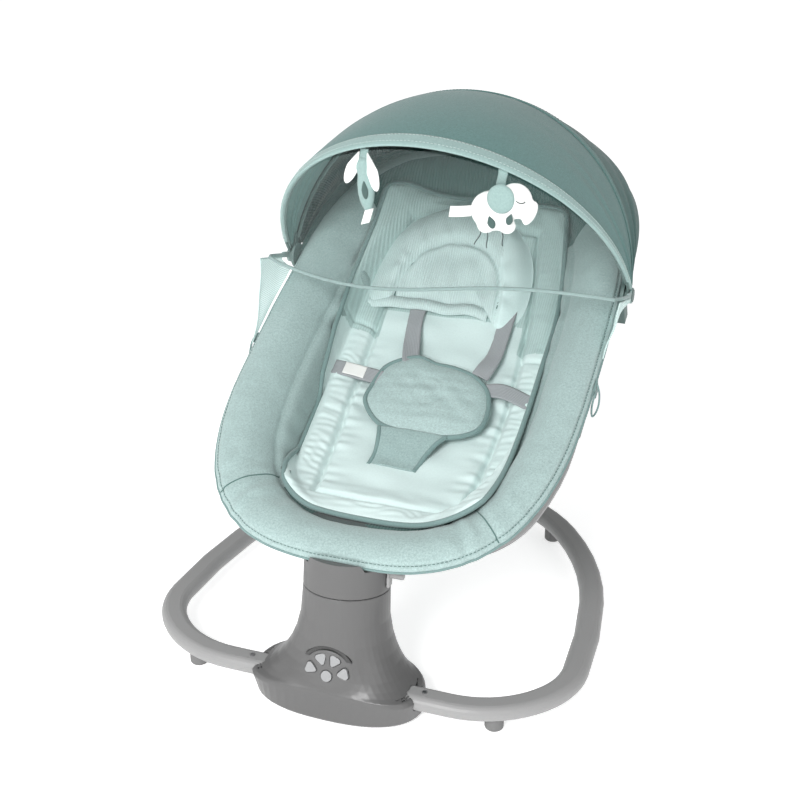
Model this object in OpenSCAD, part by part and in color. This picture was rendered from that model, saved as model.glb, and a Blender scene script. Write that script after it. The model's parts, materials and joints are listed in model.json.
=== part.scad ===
// Baby swing: a padded fabric seat that turns on a short leaning column, over a tubular floor loop.
// The foot end faces -Y, the head end +Y, and the floor is z = 0. All lengths are millimetres.

/* [Floor loop] */
// Height of the floor tube's centreline above the floor
tube_z = 30; // [28:1:34]
// Width of the flat-oval floor tube
tube_w = 34; // [32:1:36]
// Height of the flat-oval floor tube
tube_h = 22; // [20:1:23]
// Wall thickness of every steel tube
tube_wall = 1.5; // [1.2:0.1:1.8]
// Radius of a rubber foot
foot_r = 12; // [10:1:13]

/* [Column] */
// Radius of the column at its seam, and of the turning head
column_r = 55; // [54:0.5:56]
// Backward lean of the column's axis in degrees
lean = 8.9; // [8.5:0.1:9.3]
// Height of the seam's centre above the floor
seam_z = 152; // [151:0.5:153]
// Position of the seam's centre along Y
seam_y = -289.4; // [-291:0.1:-287]
// Wall thickness of the plastic shells
shell_wall = 3; // [2.5:0.1:3.2]
// Half width of the foot housing
foot_half = 112; // [110:1:113]

/* [Seat] */
// Slope of the seat's rim above the floor plane in degrees
tilt = 25.5; // [25.3:0.1:25.7]
// Height of the canopy hubs above the floor
hub_z = 415; // [414:1:416]
// Half width of the padded rim
rim_half = 241; // [240:0.5:242]
// Radius of the round seat-frame tube
frame_r = 10; // [9:0.5:10]

/* [Canopy] */
// Height of the front bow above the hub axis
front_bow = 287; // [285:1:289]
// Height of the middle bow above the hub axis
middle_bow = 252; // [250:1:254]
// Radius of a bow rod
rod_r = 2.5; // [2.3:0.1:2.7]

/* [Hidden] */
$fn = 48;
hub_y = seam_y + 426;
plastic_grey = [0.55, 0.55, 0.55];
pale_grey = [0.82, 0.82, 0.83];
sage = [0.55, 0.68, 0.65];
dark_sage = [0.40, 0.52, 0.50];
mint = [0.76, 0.87, 0.84];
steel = [0.72, 0.72, 0.74];

// Frames: the leaning column (origin at the seam's centre) and the seat (origin on the hub axis).
function turn_x(y, z, a) = [y * cos(a) - z * sin(a), y * sin(a) + z * cos(a)];
function seat_point(p) =
    let (q = turn_x(p[1], p[2], tilt)) [p[0], hub_y + q[0], hub_z + q[1]];
function column_point(p) =
    let (q = turn_x(p[1], p[2], -lean)) [p[0], seam_y + q[0], seam_z + q[1]];
module in_column() { translate([0, seam_y, seam_z]) rotate([-lean, 0, 0]) children(); }
module in_seat() { translate([0, hub_y, hub_z]) rotate([tilt, 0, 0]) children(); }
module both_sides() {
    children();
    mirror([1, 0, 0]) children();
}
module x_rod(r, length) { rotate([0, 90, 0]) cylinder(r = r, h = length, center = true); }

// Surfaces: skin() closes a stack of rings with a fan at each end, sleeve() joins the last ring to
// the first, and panel() closes the space between an outer and an inner grid of points.
function signed_power(v, e) = v < 0 ? -pow(-v, e) : pow(v, e);
function mean(ring) = [for (k = [0:2]) sum_of([for (p = ring) p[k]]) / len(ring)];
function sum_of(list, i = 0) = i < len(list) ? list[i] + sum_of(list, i + 1) : 0;
function strip_faces(rows, n, wrap) = [
    for (i = [0:rows - (wrap ? 1 : 2)], j = [0:n - 1], half = [0, 1])
        let (a = i * n + j, b = i * n + (j + 1) % n,
             d = ((i + 1) % rows) * n + j, c = ((i + 1) % rows) * n + (j + 1) % n)
            half == 0 ? [a, b, c] : [a, c, d]
];
module skin(rings) {
    rows = len(rings);
    n = len(rings[0]);
    points = concat([for (ring = rings) each ring], [mean(rings[0]), mean(rings[rows - 1])]);
    low_fan = [for (j = [0:n - 1]) [rows * n, (j + 1) % n, j]];
    high_fan = [for (j = [0:n - 1]) [rows * n + 1, (rows - 1) * n + j, (rows - 1) * n + (j + 1) % n]];
    polyhedron(points, concat(strip_faces(rows, n, false), low_fan, high_fan), convexity = 6);
}
module sleeve(rings) {
    faces = strip_faces(len(rings), len(rings[0]), true);
    polyhedron([for (ring = rings) each ring], faces, convexity = 6);
}
module panel(outer, inner) {
    m = len(outer);
    n = len(outer[0]);
    inside = m * n;
    function at(i, j) = i * n + j;
    top = [for (i = [0:m - 2], j = [0:n - 2], h = [0, 1])
        h == 0 ? [at(i, j), at(i, j + 1), at(i + 1, j + 1)]
               : [at(i, j), at(i + 1, j + 1), at(i + 1, j)]];
    under = [for (f = top) [inside + f[0], inside + f[2], inside + f[1]]];
    edge = concat([for (j = [0:n - 1]) at(0, j)], [for (i = [1:m - 1]) at(i, n - 1)],
                  [for (j = [n - 2:-1:0]) at(m - 1, j)], [for (i = [m - 2:-1:1]) at(i, 0)]);
    side = [for (k = [0:len(edge) - 1], h = [0, 1])
        let (a = edge[k], b = edge[(k + 1) % len(edge)])
            h == 0 ? [b, a, inside + a] : [b, inside + a, inside + b]];
    polyhedron([for (row = concat(outer, inner)) each row], concat(top, under, side), convexity = 6);
}
// A rod of radius r along a path that lies near the plane whose normal is given.
module swept_rod(path, r, normal, sides = 8) {
    last = len(path) - 1;
    skin([for (i = [0:last])
        let (ahead = path[min(i + 1, last)] - path[max(i - 1, 0)], t = ahead / norm(ahead),
             side = cross(t, normal) / norm(cross(t, normal)), up = cross(side, t))
            [for (k = [0:sides - 1])
                path[i] + r * (cos(360 * k / sides) * side + sin(360 * k / sides) * up)]]);
}

// Tubes bent from straights and arcs: each [radius, degrees] turns left, and [0, length] is straight.
// route_run() gives [x, y, heading] along one half, and loop_path() adds the mirrored half.
arc_step = 6;
function route_run(route, p, h, i = 0) =
    i >= len(route) ? [] :
    let (r = route[i][0], a = route[i][1], steps = max(1, ceil(a / arc_step)),
         run = r == 0 ? [[p[0] + a * cos(h), p[1] + a * sin(h), h]]
                      : [for (k = [1:steps]) let (g = h + a * k / steps)
                            [p[0] + r * (sin(g) - sin(h)), p[1] + r * (cos(h) - cos(g)), g]],
         end = run[len(run) - 1])
        concat(run, route_run(route, end, end[2], i + 1));
function loop_path(route, start) =
    let (half = concat([[start[0], start[1], 0]], route_run(route, start, 0)), last = len(half) - 1)
        concat(half, [for (k = [last - 1:-1:0]) [-half[k][0], half[k][1], -half[k][2]]]);
function oval_section(w, h, sides) = [
    for (k = [0:sides - 1])
        let (a = 360 * (k + 0.5) / sides)
            [(cos(a) < 0 ? -1 : 1) * (w - h) / 2 + h / 2 * cos(a), h / 2 * sin(a)]
];
module hollow_tube(path, w, h, sides) {
    function rings(section) = [
        for (p = path) [for (c = section) [p[0] + c[0] * sin(p[2]), p[1] - c[0] * cos(p[2]), c[1]]]
    ];
    outer = rings(oval_section(w, h, sides));
    inner = rings(oval_section(w - 2 * tube_wall, h - 2 * tube_wall, sides));
    sleeve(concat(outer, [for (i = [len(inner) - 1:-1:0]) inner[i]]));
}
module flat_oval(w, h) {
    square([w - h, h], center = true);
    for (s = [-1, 1]) translate([s * (w - h) / 2, 0]) circle(d = h);
}

// Floor loop
tube_front = seam_y - 40;
tube_start = 80;
floor_route = [[0, 68.6], [137, 55], [105, 35], [850, 11], [400, 27], [237, 52]];
module floor_tube() {
    color(plastic_grey) translate([0, 0, tube_z])
        hollow_tube(loop_path(floor_route, [tube_start, tube_front]), tube_w, tube_h, 20);
}
tube_screw_x = foot_half + 5;
module tube_screws() {
    color(steel) both_sides() translate([tube_screw_x, tube_front, tube_z + tube_h / 2]) difference() {
        cylinder(r = 3, h = 1.6);
        translate([0, 0, 0.8]) cube([4, 0.8, 2], center = true);
    }
}
foot_height = tube_z - tube_h / 2;
module rubber_foot() {
    rotate_extrude() difference() {
        union() {
            translate([0, 4]) square([foot_r, foot_height - 4]);
            square([foot_r - 4, 5]);
            translate([foot_r - 4, 4]) circle(r = 4);
        }
        translate([-foot_r, -1]) square([foot_r, foot_height + 2]);
    }
}
module front_feet() {
    color([0.35, 0.35, 0.35]) both_sides() translate([203, seam_y - 25, 0]) rubber_foot();
}
module rear_feet() {
    color([0.35, 0.35, 0.35]) both_sides() translate([160, seam_y + 440, 0]) rubber_foot();
}

// Column housing: rings of the flared shell. Each is an oval whose ends are drawn towards -Y.
ridge_z = 34;
flare_base = 38;
flare_reach = 100;
function axis_y(z) = seam_y - (seam_z - z) * tan(lean);
function shell_ring(z, half, front, back, power, skew, level, inset) = [
    for (q = [0:7.5:352.5])
        let (cx = signed_power(cos(q), 2 / power), sy = signed_power(sin(q), 2 / power),
             y = (sy < 0 ? front - inset : back - inset) * sy + skew * cx * cx)
            [(half - inset) * cx, axis_y(z) + y, z - y * tan(lean) * level]
];
function flare_ring(phi, inset) =
    let (z = flare_base + flare_reach * (1 - sin(phi)), f = 1 - cos(phi))
        shell_ring(z, column_r + (foot_half - column_r) * f, column_r * cos(lean) + 9 * f,
                   column_r * cos(lean) + 3 * f, 2 + 0.7 * f, -20 * f * f, 1 - f, inset);
function skirt_ring(z, grow, inset) =
    shell_ring(z, foot_half + grow, 66 + grow, 60 + grow, 2.45, 0, 0, inset);
function housing_rings(inset) = concat(
    [skirt_ring(2, -3, inset), skirt_ring(5, 0, inset)],
    [shell_ring(ridge_z, foot_half, 62, 58, 2.7, -18, 0, inset)],
    [for (phi = [86, 78, 70, 60, 50, 40, 28, 14]) flare_ring(phi, inset)],
    [shell_ring(seam_z, column_r, column_r * cos(lean), column_r * cos(lean), 2, 0, 1, inset)]
);
module housing_shell() {
    outer = housing_rings(0);
    inner = housing_rings(shell_wall);
    sleeve(concat(outer, [for (i = [len(inner) - 1:-1:0]) inner[i]]));
}
panel_y = seam_y - 73.5;
panel_z = 60;
panel_lean = 17;
button_spread = 21.5;
petal_angles = [163, 113, 67, 17];
module on_panel() { translate([0, panel_y, panel_z]) rotate([90 - panel_lean, 0, 0]) children(); }
module petal(grow) {
    hull() {
        translate([0, -4]) circle(r = 2.6 + grow, $fn = 24);
        for (s = [-1, 1]) translate([s * 3.4, 3.6]) circle(r = 3.6 + grow, $fn = 24);
    }
}
module petal_at(i, grow) {
    a = petal_angles[i];
    translate([button_spread * cos(a), button_spread * sin(a)]) rotate([0, 0, a - 90]) petal(grow);
}
module centre_pad(grow) { circle(r = 7 + grow); }
window_r = 36;
module window_arc(grow) {
    difference() {
        circle(r = window_r + 2.2 + grow);
        circle(r = window_r - 2.2 - grow);
        translate([-60, -60]) square([120, 60 + window_r * sin(38) - grow]);
    }
}
module column_housing() {
    color(plastic_grey) difference() {
        housing_shell();
        both_sides() translate([foot_half - 20, tube_front, tube_z]) rotate([90, 0, 90])
            linear_extrude(40) flat_oval(tube_w + 0.6, tube_h + 0.6);
        on_panel() translate([0, 0, -12]) linear_extrude(24) {
            centre_pad(0.5);
            for (i = [0:3]) petal_at(i, 0.5);
            window_arc(0.15);
        }
        translate([40, seam_y + 10, 18]) rotate([-90, 0, 0]) cylinder(r = 6.2, h = 40);
    }
}
module base_plate() {
    color([0.3, 0.3, 0.3]) translate([0, 0, 2]) linear_extrude(2.5) difference() {
        polygon([for (p = skirt_ring(2, -3, shell_wall + 1.5)) [p[0], p[1]]]);
        for (p = plate_screw_points) translate(p) circle(r = 2.2);
    }
}
plate_screw_points = [for (sx = [-1, 1], y = [-64, -12]) [sx * 62, seam_y + y]];
module plate_screws() {
    color(steel) for (p = plate_screw_points) translate([p[0], p[1], 1]) {
        cylinder(r = 3.6, h = 1);
        cylinder(r = 2.1, h = 10);
    }
}
module power_inlet() {
    color([0.12, 0.12, 0.12]) translate([40, seam_y + 15, 18]) rotate([-90, 0, 0]) difference() {
        cylinder(r = 6, h = 19);
        translate([0, 0, 8]) cylinder(r = 2.8, h = 12);
    }
}
module control_board() {
    color([0.1, 0.35, 0.2]) on_panel() translate([-30, -12, -16]) cube([60, 52, 1.6]);
}
module dome_pad() {
    color([0.85, 0.85, 0.82]) on_panel() translate([0, 0, -14.3]) {
        translate([-28, -9.5, 0]) cube([56, 34, 1]);
        cylinder(r = 4, h = 4);
        for (i = [0:3]) let (a = petal_angles[i])
            translate([button_spread * cos(a), button_spread * sin(a), 0]) cylinder(r = 4, h = 4);
    }
}
module indicator_window() {
    color([0.2, 0.2, 0.2]) on_panel() translate([0, 0, -4]) linear_extrude(3.2) window_arc(0);
}
button_travel = 1.2;
button_foot = -10.3 + button_travel + 0.4;
module button_top(grow_flange) {
    translate([0, 0, -6]) linear_extrude(7) children(0);
    translate([0, 0, button_foot]) linear_extrude(-6 - button_foot) children(1);
}
module button_centre() { color(pale_grey) on_panel() button_top() { centre_pad(0); centre_pad(1.2); } }
module petal_button(i) {
    color(pale_grey) on_panel() button_top() { petal_at(i, 0); petal_at(i, 1.2); }
}
module button_outer_left() { petal_button(0); }
module button_inner_left() { petal_button(1); }
module button_inner_right() { petal_button(2); }
module button_outer_right() { petal_button(3); }

// Turning gear on the column's axis, heights measured from the seam
spindle_r = 7.5;
bearing_r = 17.5;
bearing_w = 11;
carrier_top = -6;
carrier_low = -60;
module bearing_carrier() {
    color([0.25, 0.25, 0.27]) in_column() difference() {
        union() {
            translate([0, 0, carrier_top - 8]) cylinder(r = column_r - shell_wall - 0.6, h = 8);
            translate([0, 0, carrier_low]) cylinder(r = bearing_r + 4, h = carrier_top - carrier_low);
        }
        translate([0, 0, carrier_low - 1]) cylinder(r = bearing_r - 3, h = 80);
        translate([0, 0, carrier_top - bearing_w]) cylinder(r = bearing_r, h = bearing_w + 1);
        translate([0, 0, carrier_low - 1]) cylinder(r = bearing_r, h = bearing_w + 1);
    }
}
module bearing(z) {
    color(steel) in_column() translate([0, 0, z]) difference() {
        cylinder(r = bearing_r, h = bearing_w);
        translate([0, 0, -1]) cylinder(r = spindle_r + 0.05, h = bearing_w + 2);
    }
}
module upper_bearing() { bearing(carrier_top - bearing_w); }
module lower_bearing() { bearing(carrier_low); }
magnet_reach = 30;
module drive_coil() {
    color([0.7, 0.4, 0.2]) in_column() translate([0, magnet_reach, -90]) difference() {
        cylinder(r = 13, h = 10);
        translate([0, 0, -1]) cylinder(r = 5, h = 12);
    }
}
head_gap = 1.2;
module head_shell() {
    color(plastic_grey) in_column() difference() {
        translate([0, 0, head_gap]) cylinder(r = column_r, h = 45 - head_gap);
        translate([0, 0, -1]) difference() {
            cylinder(r = column_r - shell_wall, h = 22);
            cylinder(r = 16, h = 30);
        }
        translate([0, 0, -1]) cylinder(r = spindle_r, h = 20);
        rotate([90, 0, 90]) translate([0, 0, -80]) linear_extrude(160)
            polygon([[-44, 60], [-44, 45], [-40, 36], [16, 36], [30, 24], [70, 24], [70, 60]]);
        translate([lever_x, lever_v - 5, 6]) cube([30, 10, 25]);
    }
    color(plastic_grey) in_column() translate([42, lever_v - 6, 2]) cube([10, 12, 1.5]);
    color(plastic_grey) in_column() both_sides() difference() {
        union() {
            translate([24, pin_v, pin_h]) x_rod(pin_r + 3, 6);
            translate([21, pin_v - 7, 35]) cube([6, 14, pin_h - 35]);
        }
        translate([24, pin_v, pin_h]) x_rod(pin_r, 8);
    }
}
pin_v = 8;
pin_h = 44;
pin_r = 4;
module tilt_pin() {
    color(steel) in_column() translate([0, pin_v, pin_h]) {
        x_rod(pin_r, 56);
        both_sides() translate([28.6, 0, 0]) x_rod(pin_r + 2, 1.6);
    }
}
module spindle() {
    color(steel) in_column() {
        translate([0, 0, -78]) cylinder(r = spindle_r, h = 96);
        translate([0, 0, carrier_top + 0.2]) cylinder(r = 12, h = head_gap - carrier_top - 0.2);
    }
}
module magnet_arm() {
    color([0.3, 0.3, 0.32]) in_column() difference() {
        union() {
            translate([0, 0, -74]) cylinder(r = 14, h = 10);
            translate([-10, 0, -74]) cube([20, magnet_reach, 6]);
            translate([0, magnet_reach, -78]) cylinder(r = 13, h = 10);
        }
        translate([0, 0, -80]) cylinder(r = spindle_r, h = 20);
    }
}
module spindle_clip() {
    color(steel) in_column() translate([0, 0, -76.5]) difference() {
        cylinder(r = 11, h = 1.5);
        translate([0, 0, -1]) cylinder(r = spindle_r, h = 4);
    }
}

// Recline lever: a plate that slides in the head's slot, with a round finger knob
lever_x = 48;
lever_v = -3;
lever_h = 21;
knob_r = 5;
knob_reach = 16;
module recline_lever() {
    color(pale_grey) in_column() translate([0, lever_v, lever_h]) {
        translate([43, -4.5, -8]) cube([column_r - 42, 9, 7]);
        translate([column_r + 0.3, -6, -13]) cube([3, 12, 24]);
        translate([column_r + 3, 0, 3]) rotate([0, 90, 0]) cylinder(r = knob_r, h = knob_reach);
        translate([column_r + 3 + knob_reach, 0, 3]) rotate([0, 90, 0])
            cylinder(r1 = knob_r, r2 = knob_r - 1, h = 1.5);
    }
}
module lever_spring() {
    color(steel) in_column() translate([46, lever_v, 3.6]) difference() {
        cylinder(r = 2.8, h = lever_h - 11.9);
        translate([0, 0, -1]) cylinder(r = 2, h = 12);
    }
}

// Seat frame
frame_drop = -37;
frame_foot = -440;
frame_half = 224;
butt_gap = 0.2;
frame_route = [[0, 98], [110, 45], [120, 25], [330, 20], [0, 310], [170, 60], [90, 30], [0, 94]];
module seat_frame_tube() {
    color(plastic_grey) in_seat() translate([0, 0, frame_drop])
        hollow_tube(loop_path(frame_route, [butt_gap, frame_foot]), 2 * frame_r, 2 * frame_r, 14);
}
bracket_tube = seat_point([0, frame_foot, frame_drop]);
bracket_pin = column_point([0, pin_v, pin_h]);
module seat_bracket() {
    color([0.35, 0.35, 0.37]) difference() {
        union() {
            translate(bracket_pin) x_rod(pin_r + 3, 40);
            translate(bracket_tube) x_rod(frame_r + 3, 40);
            translate(bracket_pin) rotate([bracket_slope, 0, 0]) translate([-18, pin_r + 1.5, -5])
                cube([36, norm(bracket_tube - bracket_pin) - pin_r - frame_r - 3, 10]);
        }
        translate(bracket_pin) x_rod(pin_r + 0.05, 60);
        translate(bracket_tube) x_rod(frame_r + 0.1, 60);
    }
}
bracket_slope = atan2(bracket_tube[2] - bracket_pin[2], bracket_tube[1] - bracket_pin[1]);
module bracket_bolts() {
    color(steel) for (s = [-1, 1]) translate(bracket_tube + [s * 13, 0, 0]) rotate([tilt + 180, 0, 0])
        translate([0, 0, frame_r + 0.3]) {
            cylinder(r = 2.4, h = 3);
            translate([0, 0, 2.9]) cylinder(r = 4, h = 1.5);
        }
}
module frame_sleeves() {
    color([0.6, 0.6, 0.62]) in_seat() both_sides() translate([frame_half, -225, frame_drop])
        rotate([-90, 0, 0]) difference() {
            cylinder(r = frame_r + 1.2, h = 60);
            translate([0, 0, -1]) cylinder(r = frame_r + 0.1, h = 62);
        }
}

// Seat fabric: nested outlines round the point where the rim is straight
rim_mid = -171;
rim_foot = 334;
rim_head = 436;
function outline(half, foot, head, q, foot_power = 2.85, head_power = 3.4) =
    let (power = sin(q) < 0 ? foot_power : head_power)
        [half * signed_power(cos(q), 2 / power),
         rim_mid + (sin(q) < 0 ? foot : head) * signed_power(sin(q), 2 / power)];
function hollow(s) = max(0, 1 - pow((s + 130) / 290, 2));
function foot_lift(s) = min(1, max(0, (-s - 400) / 70));
function basket_ring(r) = [
    for (q = [0:7.5:352.5])
        let (p = outline(r[0], r[1], r[2], q))
            seat_point([p[0], p[1], r[3] - r[4] * hollow(p[1]) + r[5] * foot_lift(p[1])])
];
// Each row: half width, foot reach, head reach, height, share of the hollow, lift at the foot end
basket_rows = [
    [12, 22, 38, -68, 54, 0], [60, 110, 190, -68, 54, 0], [120, 195, 300, -67, 54, 0],
    [164, 232, 350, -68, 52, 0], [190, 244, 364, -58, 30, 0], [205, 251, 374, -46, 8, 0],
    [208, 254, 377, -25, 0, 3], [233, 324, 428, -19, 0, 13], [rim_half, rim_foot, rim_head, -6, 0, 3],
    [rim_half - 1, rim_foot - 1, rim_head - 1, 4, 0, 0], [226, 318, 421, 10, 0, 0],
    [205, 297, 400, 5, 0, 0], [178, 262, 374, -20, 0, 0], [170, 246, 362, -34, 8, 0],
    [165, 241, 356, -50, 30, 0], [158, 236, 350, -62, 48, 0], [120, 195, 300, -62, 50, 0],
    [60, 110, 190, -62, 50, 0], [12, 22, 38, -62, 50, 0]
];
module seat_basket() { color(sage) skin([for (row = basket_rows) basket_ring(row)]); }
module seat_board() {
    low = -60.4;
    high = -56.4;
    rows = [[12, 22, 38, low, 50, 0], [60, 110, 190, low, 50, 0], [120, 195, 300, low, 50, 0],
            [138, 218, 330, low, 49, 0], [138, 218, 330, high, 49, 0], [120, 195, 300, high, 50, 0],
            [60, 110, 190, high, 50, 0], [12, 22, 38, high, 50, 0]];
    color([0.8, 0.78, 0.7]) skin([for (row = rows) basket_ring(row)]);
}
module seat_pad() {
    rows = [[12, 22, 38, -54.8, 50, 0], [60, 110, 190, -54.8, 50, 0], [120, 195, 300, -54.8, 50, 0],
            [146, 226, 338, -50, 46, 0], [156, 234, 350, -38, 40, 0], [150, 228, 344, -30, 44, 0],
            [120, 195, 300, -31, 54, 0], [60, 110, 190, -30.5, 55, 0], [12, 22, 38, -30.5, 55, 0]];
    color(mint) skin([for (row = rows) basket_ring(row)]);
}
// Soft pieces that lie on the pad: a closed cushion between two offsets of the pad's surface
function pad_top(s) = -30 - 55 * hollow(s);
function cushion_ring(centre, half, length, height, power) = [
    for (q = [0:15:345])
        let (x = centre[0] + half * signed_power(cos(q), 2 / power),
             s = centre[1] + length * signed_power(sin(q), 2 / power))
            seat_point([x, s, pad_top(s) + height])
];
module cushion(centre, half, length, low, high, power = 2.4) {
    skin([cushion_ring(centre, half * 0.5, length * 0.5, low, power),
          cushion_ring(centre, half * 0.92, length * 0.92, low, power),
          cushion_ring(centre, half, length, (low + high) / 2, power),
          cushion_ring(centre, half * 0.85, length * 0.85, high - 2, power),
          cushion_ring(centre, half * 0.4, length * 0.4, high, power)]);
}
module head_pillow() { color(mint) cushion([-28, 76], 118, 92, 5.5, 30); }
module waist_pad() { color(dark_sage) cushion([8, -180], 86, 70, 21, 33); }
module strap(points, width, thick) {
    for (i = [0:len(points) - 2])
        let (a = points[i], b = points[i + 1], run = [b[0] - a[0], b[1] - a[1]],
             side = [-run[1], run[0]] / norm(run) * width / 2)
            polyhedron([for (p = [a, b], k = [-1, 1], up = [0, thick])
                            seat_point([p[0] + k * side[0], p[1] + k * side[1], p[2] + up])],
                       [[0, 1, 3, 2], [4, 6, 7, 5], [0, 4, 5, 1],
                        [2, 3, 7, 6], [1, 5, 7, 3], [0, 2, 6, 4]]);
}
webbing_w = 25;
webbing_t = 1.4;
module shoulder_straps() {
    color([0.6, 0.58, 0.6]) both_sides()
        strap([[60, -26, pad_top(-26) + 2], [54, -75, pad_top(-75) + 6], [46, -104, pad_top(-104) + 16]],
              webbing_w, webbing_t);
}
module waist_straps() {
    color([0.6, 0.58, 0.6]) both_sides()
        strap([[150, -158, pad_top(-158) + 17], [120, -158, pad_top(-158) + 10],
               [98, -160, pad_top(-160) + 15]], webbing_w, webbing_t);
}
module crotch_strap() {
    color(dark_sage) strap([[0, -245, pad_top(-245) + 16], [-2, -280, pad_top(-280) + 8],
                            [-4, -308, pad_top(-308) + 1]], 72, 3);
}
module harness_buckle() {
    color([0.5, 0.5, 0.5]) skin([for (r = [[18, 20, 6], [20, 22, 8], [20, 22, 15], [18, 20, 18]])
        cushion_ring([3, -180], r[0], r[1], r[2], 3)]);
}
module rim_clips() {
    color(dark_sage) in_seat() both_sides() translate([rim_half + 1.2, -177, -16])
        cube([3, 16, 18]);
}

// Canopy hubs and bows. A bow is an ellipse through the hub axis, at an angle up from +Y.
plate_x = 243;
arm_w = 3;
arm_gap = 0.3;
rear_angle = tilt + 1;
middle_angle = 70;
front_angle = 126;
hoop_angle = 163.6;
middle_x = plate_x + 4 + arm_gap + arm_w / 2;
front_x = middle_x + arm_w + arm_gap;
hoop_x = front_x + arm_w + arm_gap;
hub_pin_r = 5;
clamp_x = frame_half + 4;
module hub() {
    translate([0, hub_y, hub_z]) rotate([tilt, 0, 0]) {
        difference() {
            union() {
                translate([plate_x + 2, 0, 0]) x_rod(18, 4);
                translate([plate_x, -9, frame_drop - 12]) cube([4, 18, 12 - frame_drop]);
                translate([clamp_x, -9, frame_drop - 12]) cube([plate_x + 1 - clamp_x, 18, 24]);
            }
            translate([frame_half, 0, frame_drop]) rotate([90, 0, 0])
                cylinder(r = frame_r + 0.1, h = 60, center = true);
        }
        translate([(plate_x + hoop_x + 2.5) / 2, 0, 0]) x_rod(hub_pin_r, hoop_x + 2.5 - plate_x);
        translate([hoop_x + 2.2, 0, 0]) x_rod(9, 1);
    }
}
module hub_right() { color([0.3, 0.38, 0.36]) hub(); }
module hub_left() { color([0.3, 0.38, 0.36]) mirror([1, 0, 0]) hub(); }
function bow_point(half, height, angle, q, power = 2) =
    let (v = height * pow(sin(q), 2 / power))
        [half * signed_power(cos(q), 2 / power), hub_y + v * cos(angle), hub_z + v * sin(angle)];
module arms(x, angle, length) {
    both_sides() translate([x, hub_y, hub_z]) rotate([angle, 0, 0]) difference() {
        union() {
            x_rod(11, arm_w);
            translate([-arm_w / 2, 0, -4]) cube([arm_w, length, 8]);
        }
        x_rod(hub_pin_r + 0.05, 10);
    }
}
module bow(x, height, angle) {
    arms(x, angle, 33);
    swept_rod([for (q = [6:5.25:174.1]) bow_point(x - arm_w / 2, height, angle, q)],
              rod_r, [0, -sin(angle), cos(angle)]);
}
module middle_bow_rod() { color(dark_sage) bow(middle_x, middle_bow, middle_angle); }
module front_bow_rod() { color(dark_sage) bow(front_x, front_bow, front_angle); }
// Reach of the canopy's cloth from the hub axis at an angle up from +Y, and its half width there
function canopy_reach(a) =
    let (u = (a - middle_angle) / (front_angle - middle_angle))
        u > 0 ? middle_bow + 5 + (front_bow - middle_bow) * pow(u, 2.2)
              : middle_bow + 5 + 9 * (middle_angle - a) / (middle_angle - rear_angle);
function canopy_half(a) =
    a > middle_angle ? middle_x + 4 + 3.4 * (a - middle_angle) / (front_angle - middle_angle)
                     : middle_x + 4 - 6 * (middle_angle - a) / (middle_angle - rear_angle);
function canopy_power(a) =
    a > middle_angle ? 2 : 2 + 1.3 * (middle_angle - a) / (middle_angle - rear_angle);
function canopy_grid(from, to, steps, inset) = [
    for (q = [9:6.48:171.1])
        [for (k = [0:steps]) let (a = from + (to - from) * k / steps)
            bow_point(canopy_half(a) - inset, canopy_reach(a) - inset, a, q, canopy_power(a))]
];
module canopy_rear() {
    color(dark_sage) panel(canopy_grid(rear_angle + 2, middle_angle - 2, 6, 0),
                           canopy_grid(rear_angle + 2, middle_angle - 2, 6, 1.5));
}
module canopy_front() {
    color(sage) panel(canopy_grid(middle_angle - 1.5, front_angle + 2, 8, 0),
                      canopy_grid(middle_angle - 1.5, front_angle + 2, 8, 1.4));
}
// Net hoop: side arms out to rounded corners, then a bar that bows forward, sags and twists a little
hoop_reach = 99;
hoop_side = 254;
function hoop_point(u) =
    let (c = 1 - pow(abs(u), 2), y = -hoop_reach * cos(180 - hoop_angle) - 22 * c,
         z = hoop_reach * sin(180 - hoop_angle) - 10 * c + 12 * sin(180 * u))
        [hoop_side * u, hub_y + y, hub_z + z];
function hoop_path() =
    concat([[-hoop_x, hub_y - 24, hub_z + 7], [-hoop_x, hub_y - 70, hub_z + 20.5]],
           [[-hoop_side + 6, hub_y - 89, hub_z + 25]],
           [for (k = [-9:9]) hoop_point(k / 10)],
           [[hoop_side - 6, hub_y - 89, hub_z + 25]],
           [[hoop_x, hub_y - 70, hub_z + 20.5], [hoop_x, hub_y - 24, hub_z + 7]]);
module net_hoop() {
    color(dark_sage) {
        arms(hoop_x, hoop_angle, 30);
        swept_rod(hoop_path(), rod_r, [0, -sin(hoop_angle), cos(hoop_angle)]);
    }
}
net_angle = front_angle - 4.5;
function net_row(q, inset) =
    let (a = bow_point(canopy_half(net_angle) - 9.5, canopy_reach(net_angle) - 3.2, net_angle, q),
         b = hoop_point(cos(q) * 0.93) + [0, 6.5, 0],
         shift = inset * [-cos(q), 0.3 + 0.65 * sin(q), 0.32 * sin(q)])
        [for (k = [0:4]) a + (b - a) * (k / 4) + shift];
module insect_net() {
    color([0.85, 0.93, 0.91, 0.6]) panel([for (q = [12:6.5:168.1]) net_row(q, 0)],
                                         [for (q = [12:6.5:168.1]) net_row(q, 1)]);
}
module side_nets() {
    color([0.85, 0.93, 0.91, 0.6]) both_sides() translate([hoop_x + 3.4, hub_y, hub_z])
        rotate([90, 0, 90]) linear_extrude(0.8)
            polygon([[-26, 4], [-60, 14], [-92, 22], [-128, -20], [-156, -62], [-120, -52], [-60, -24]]);
}

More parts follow.
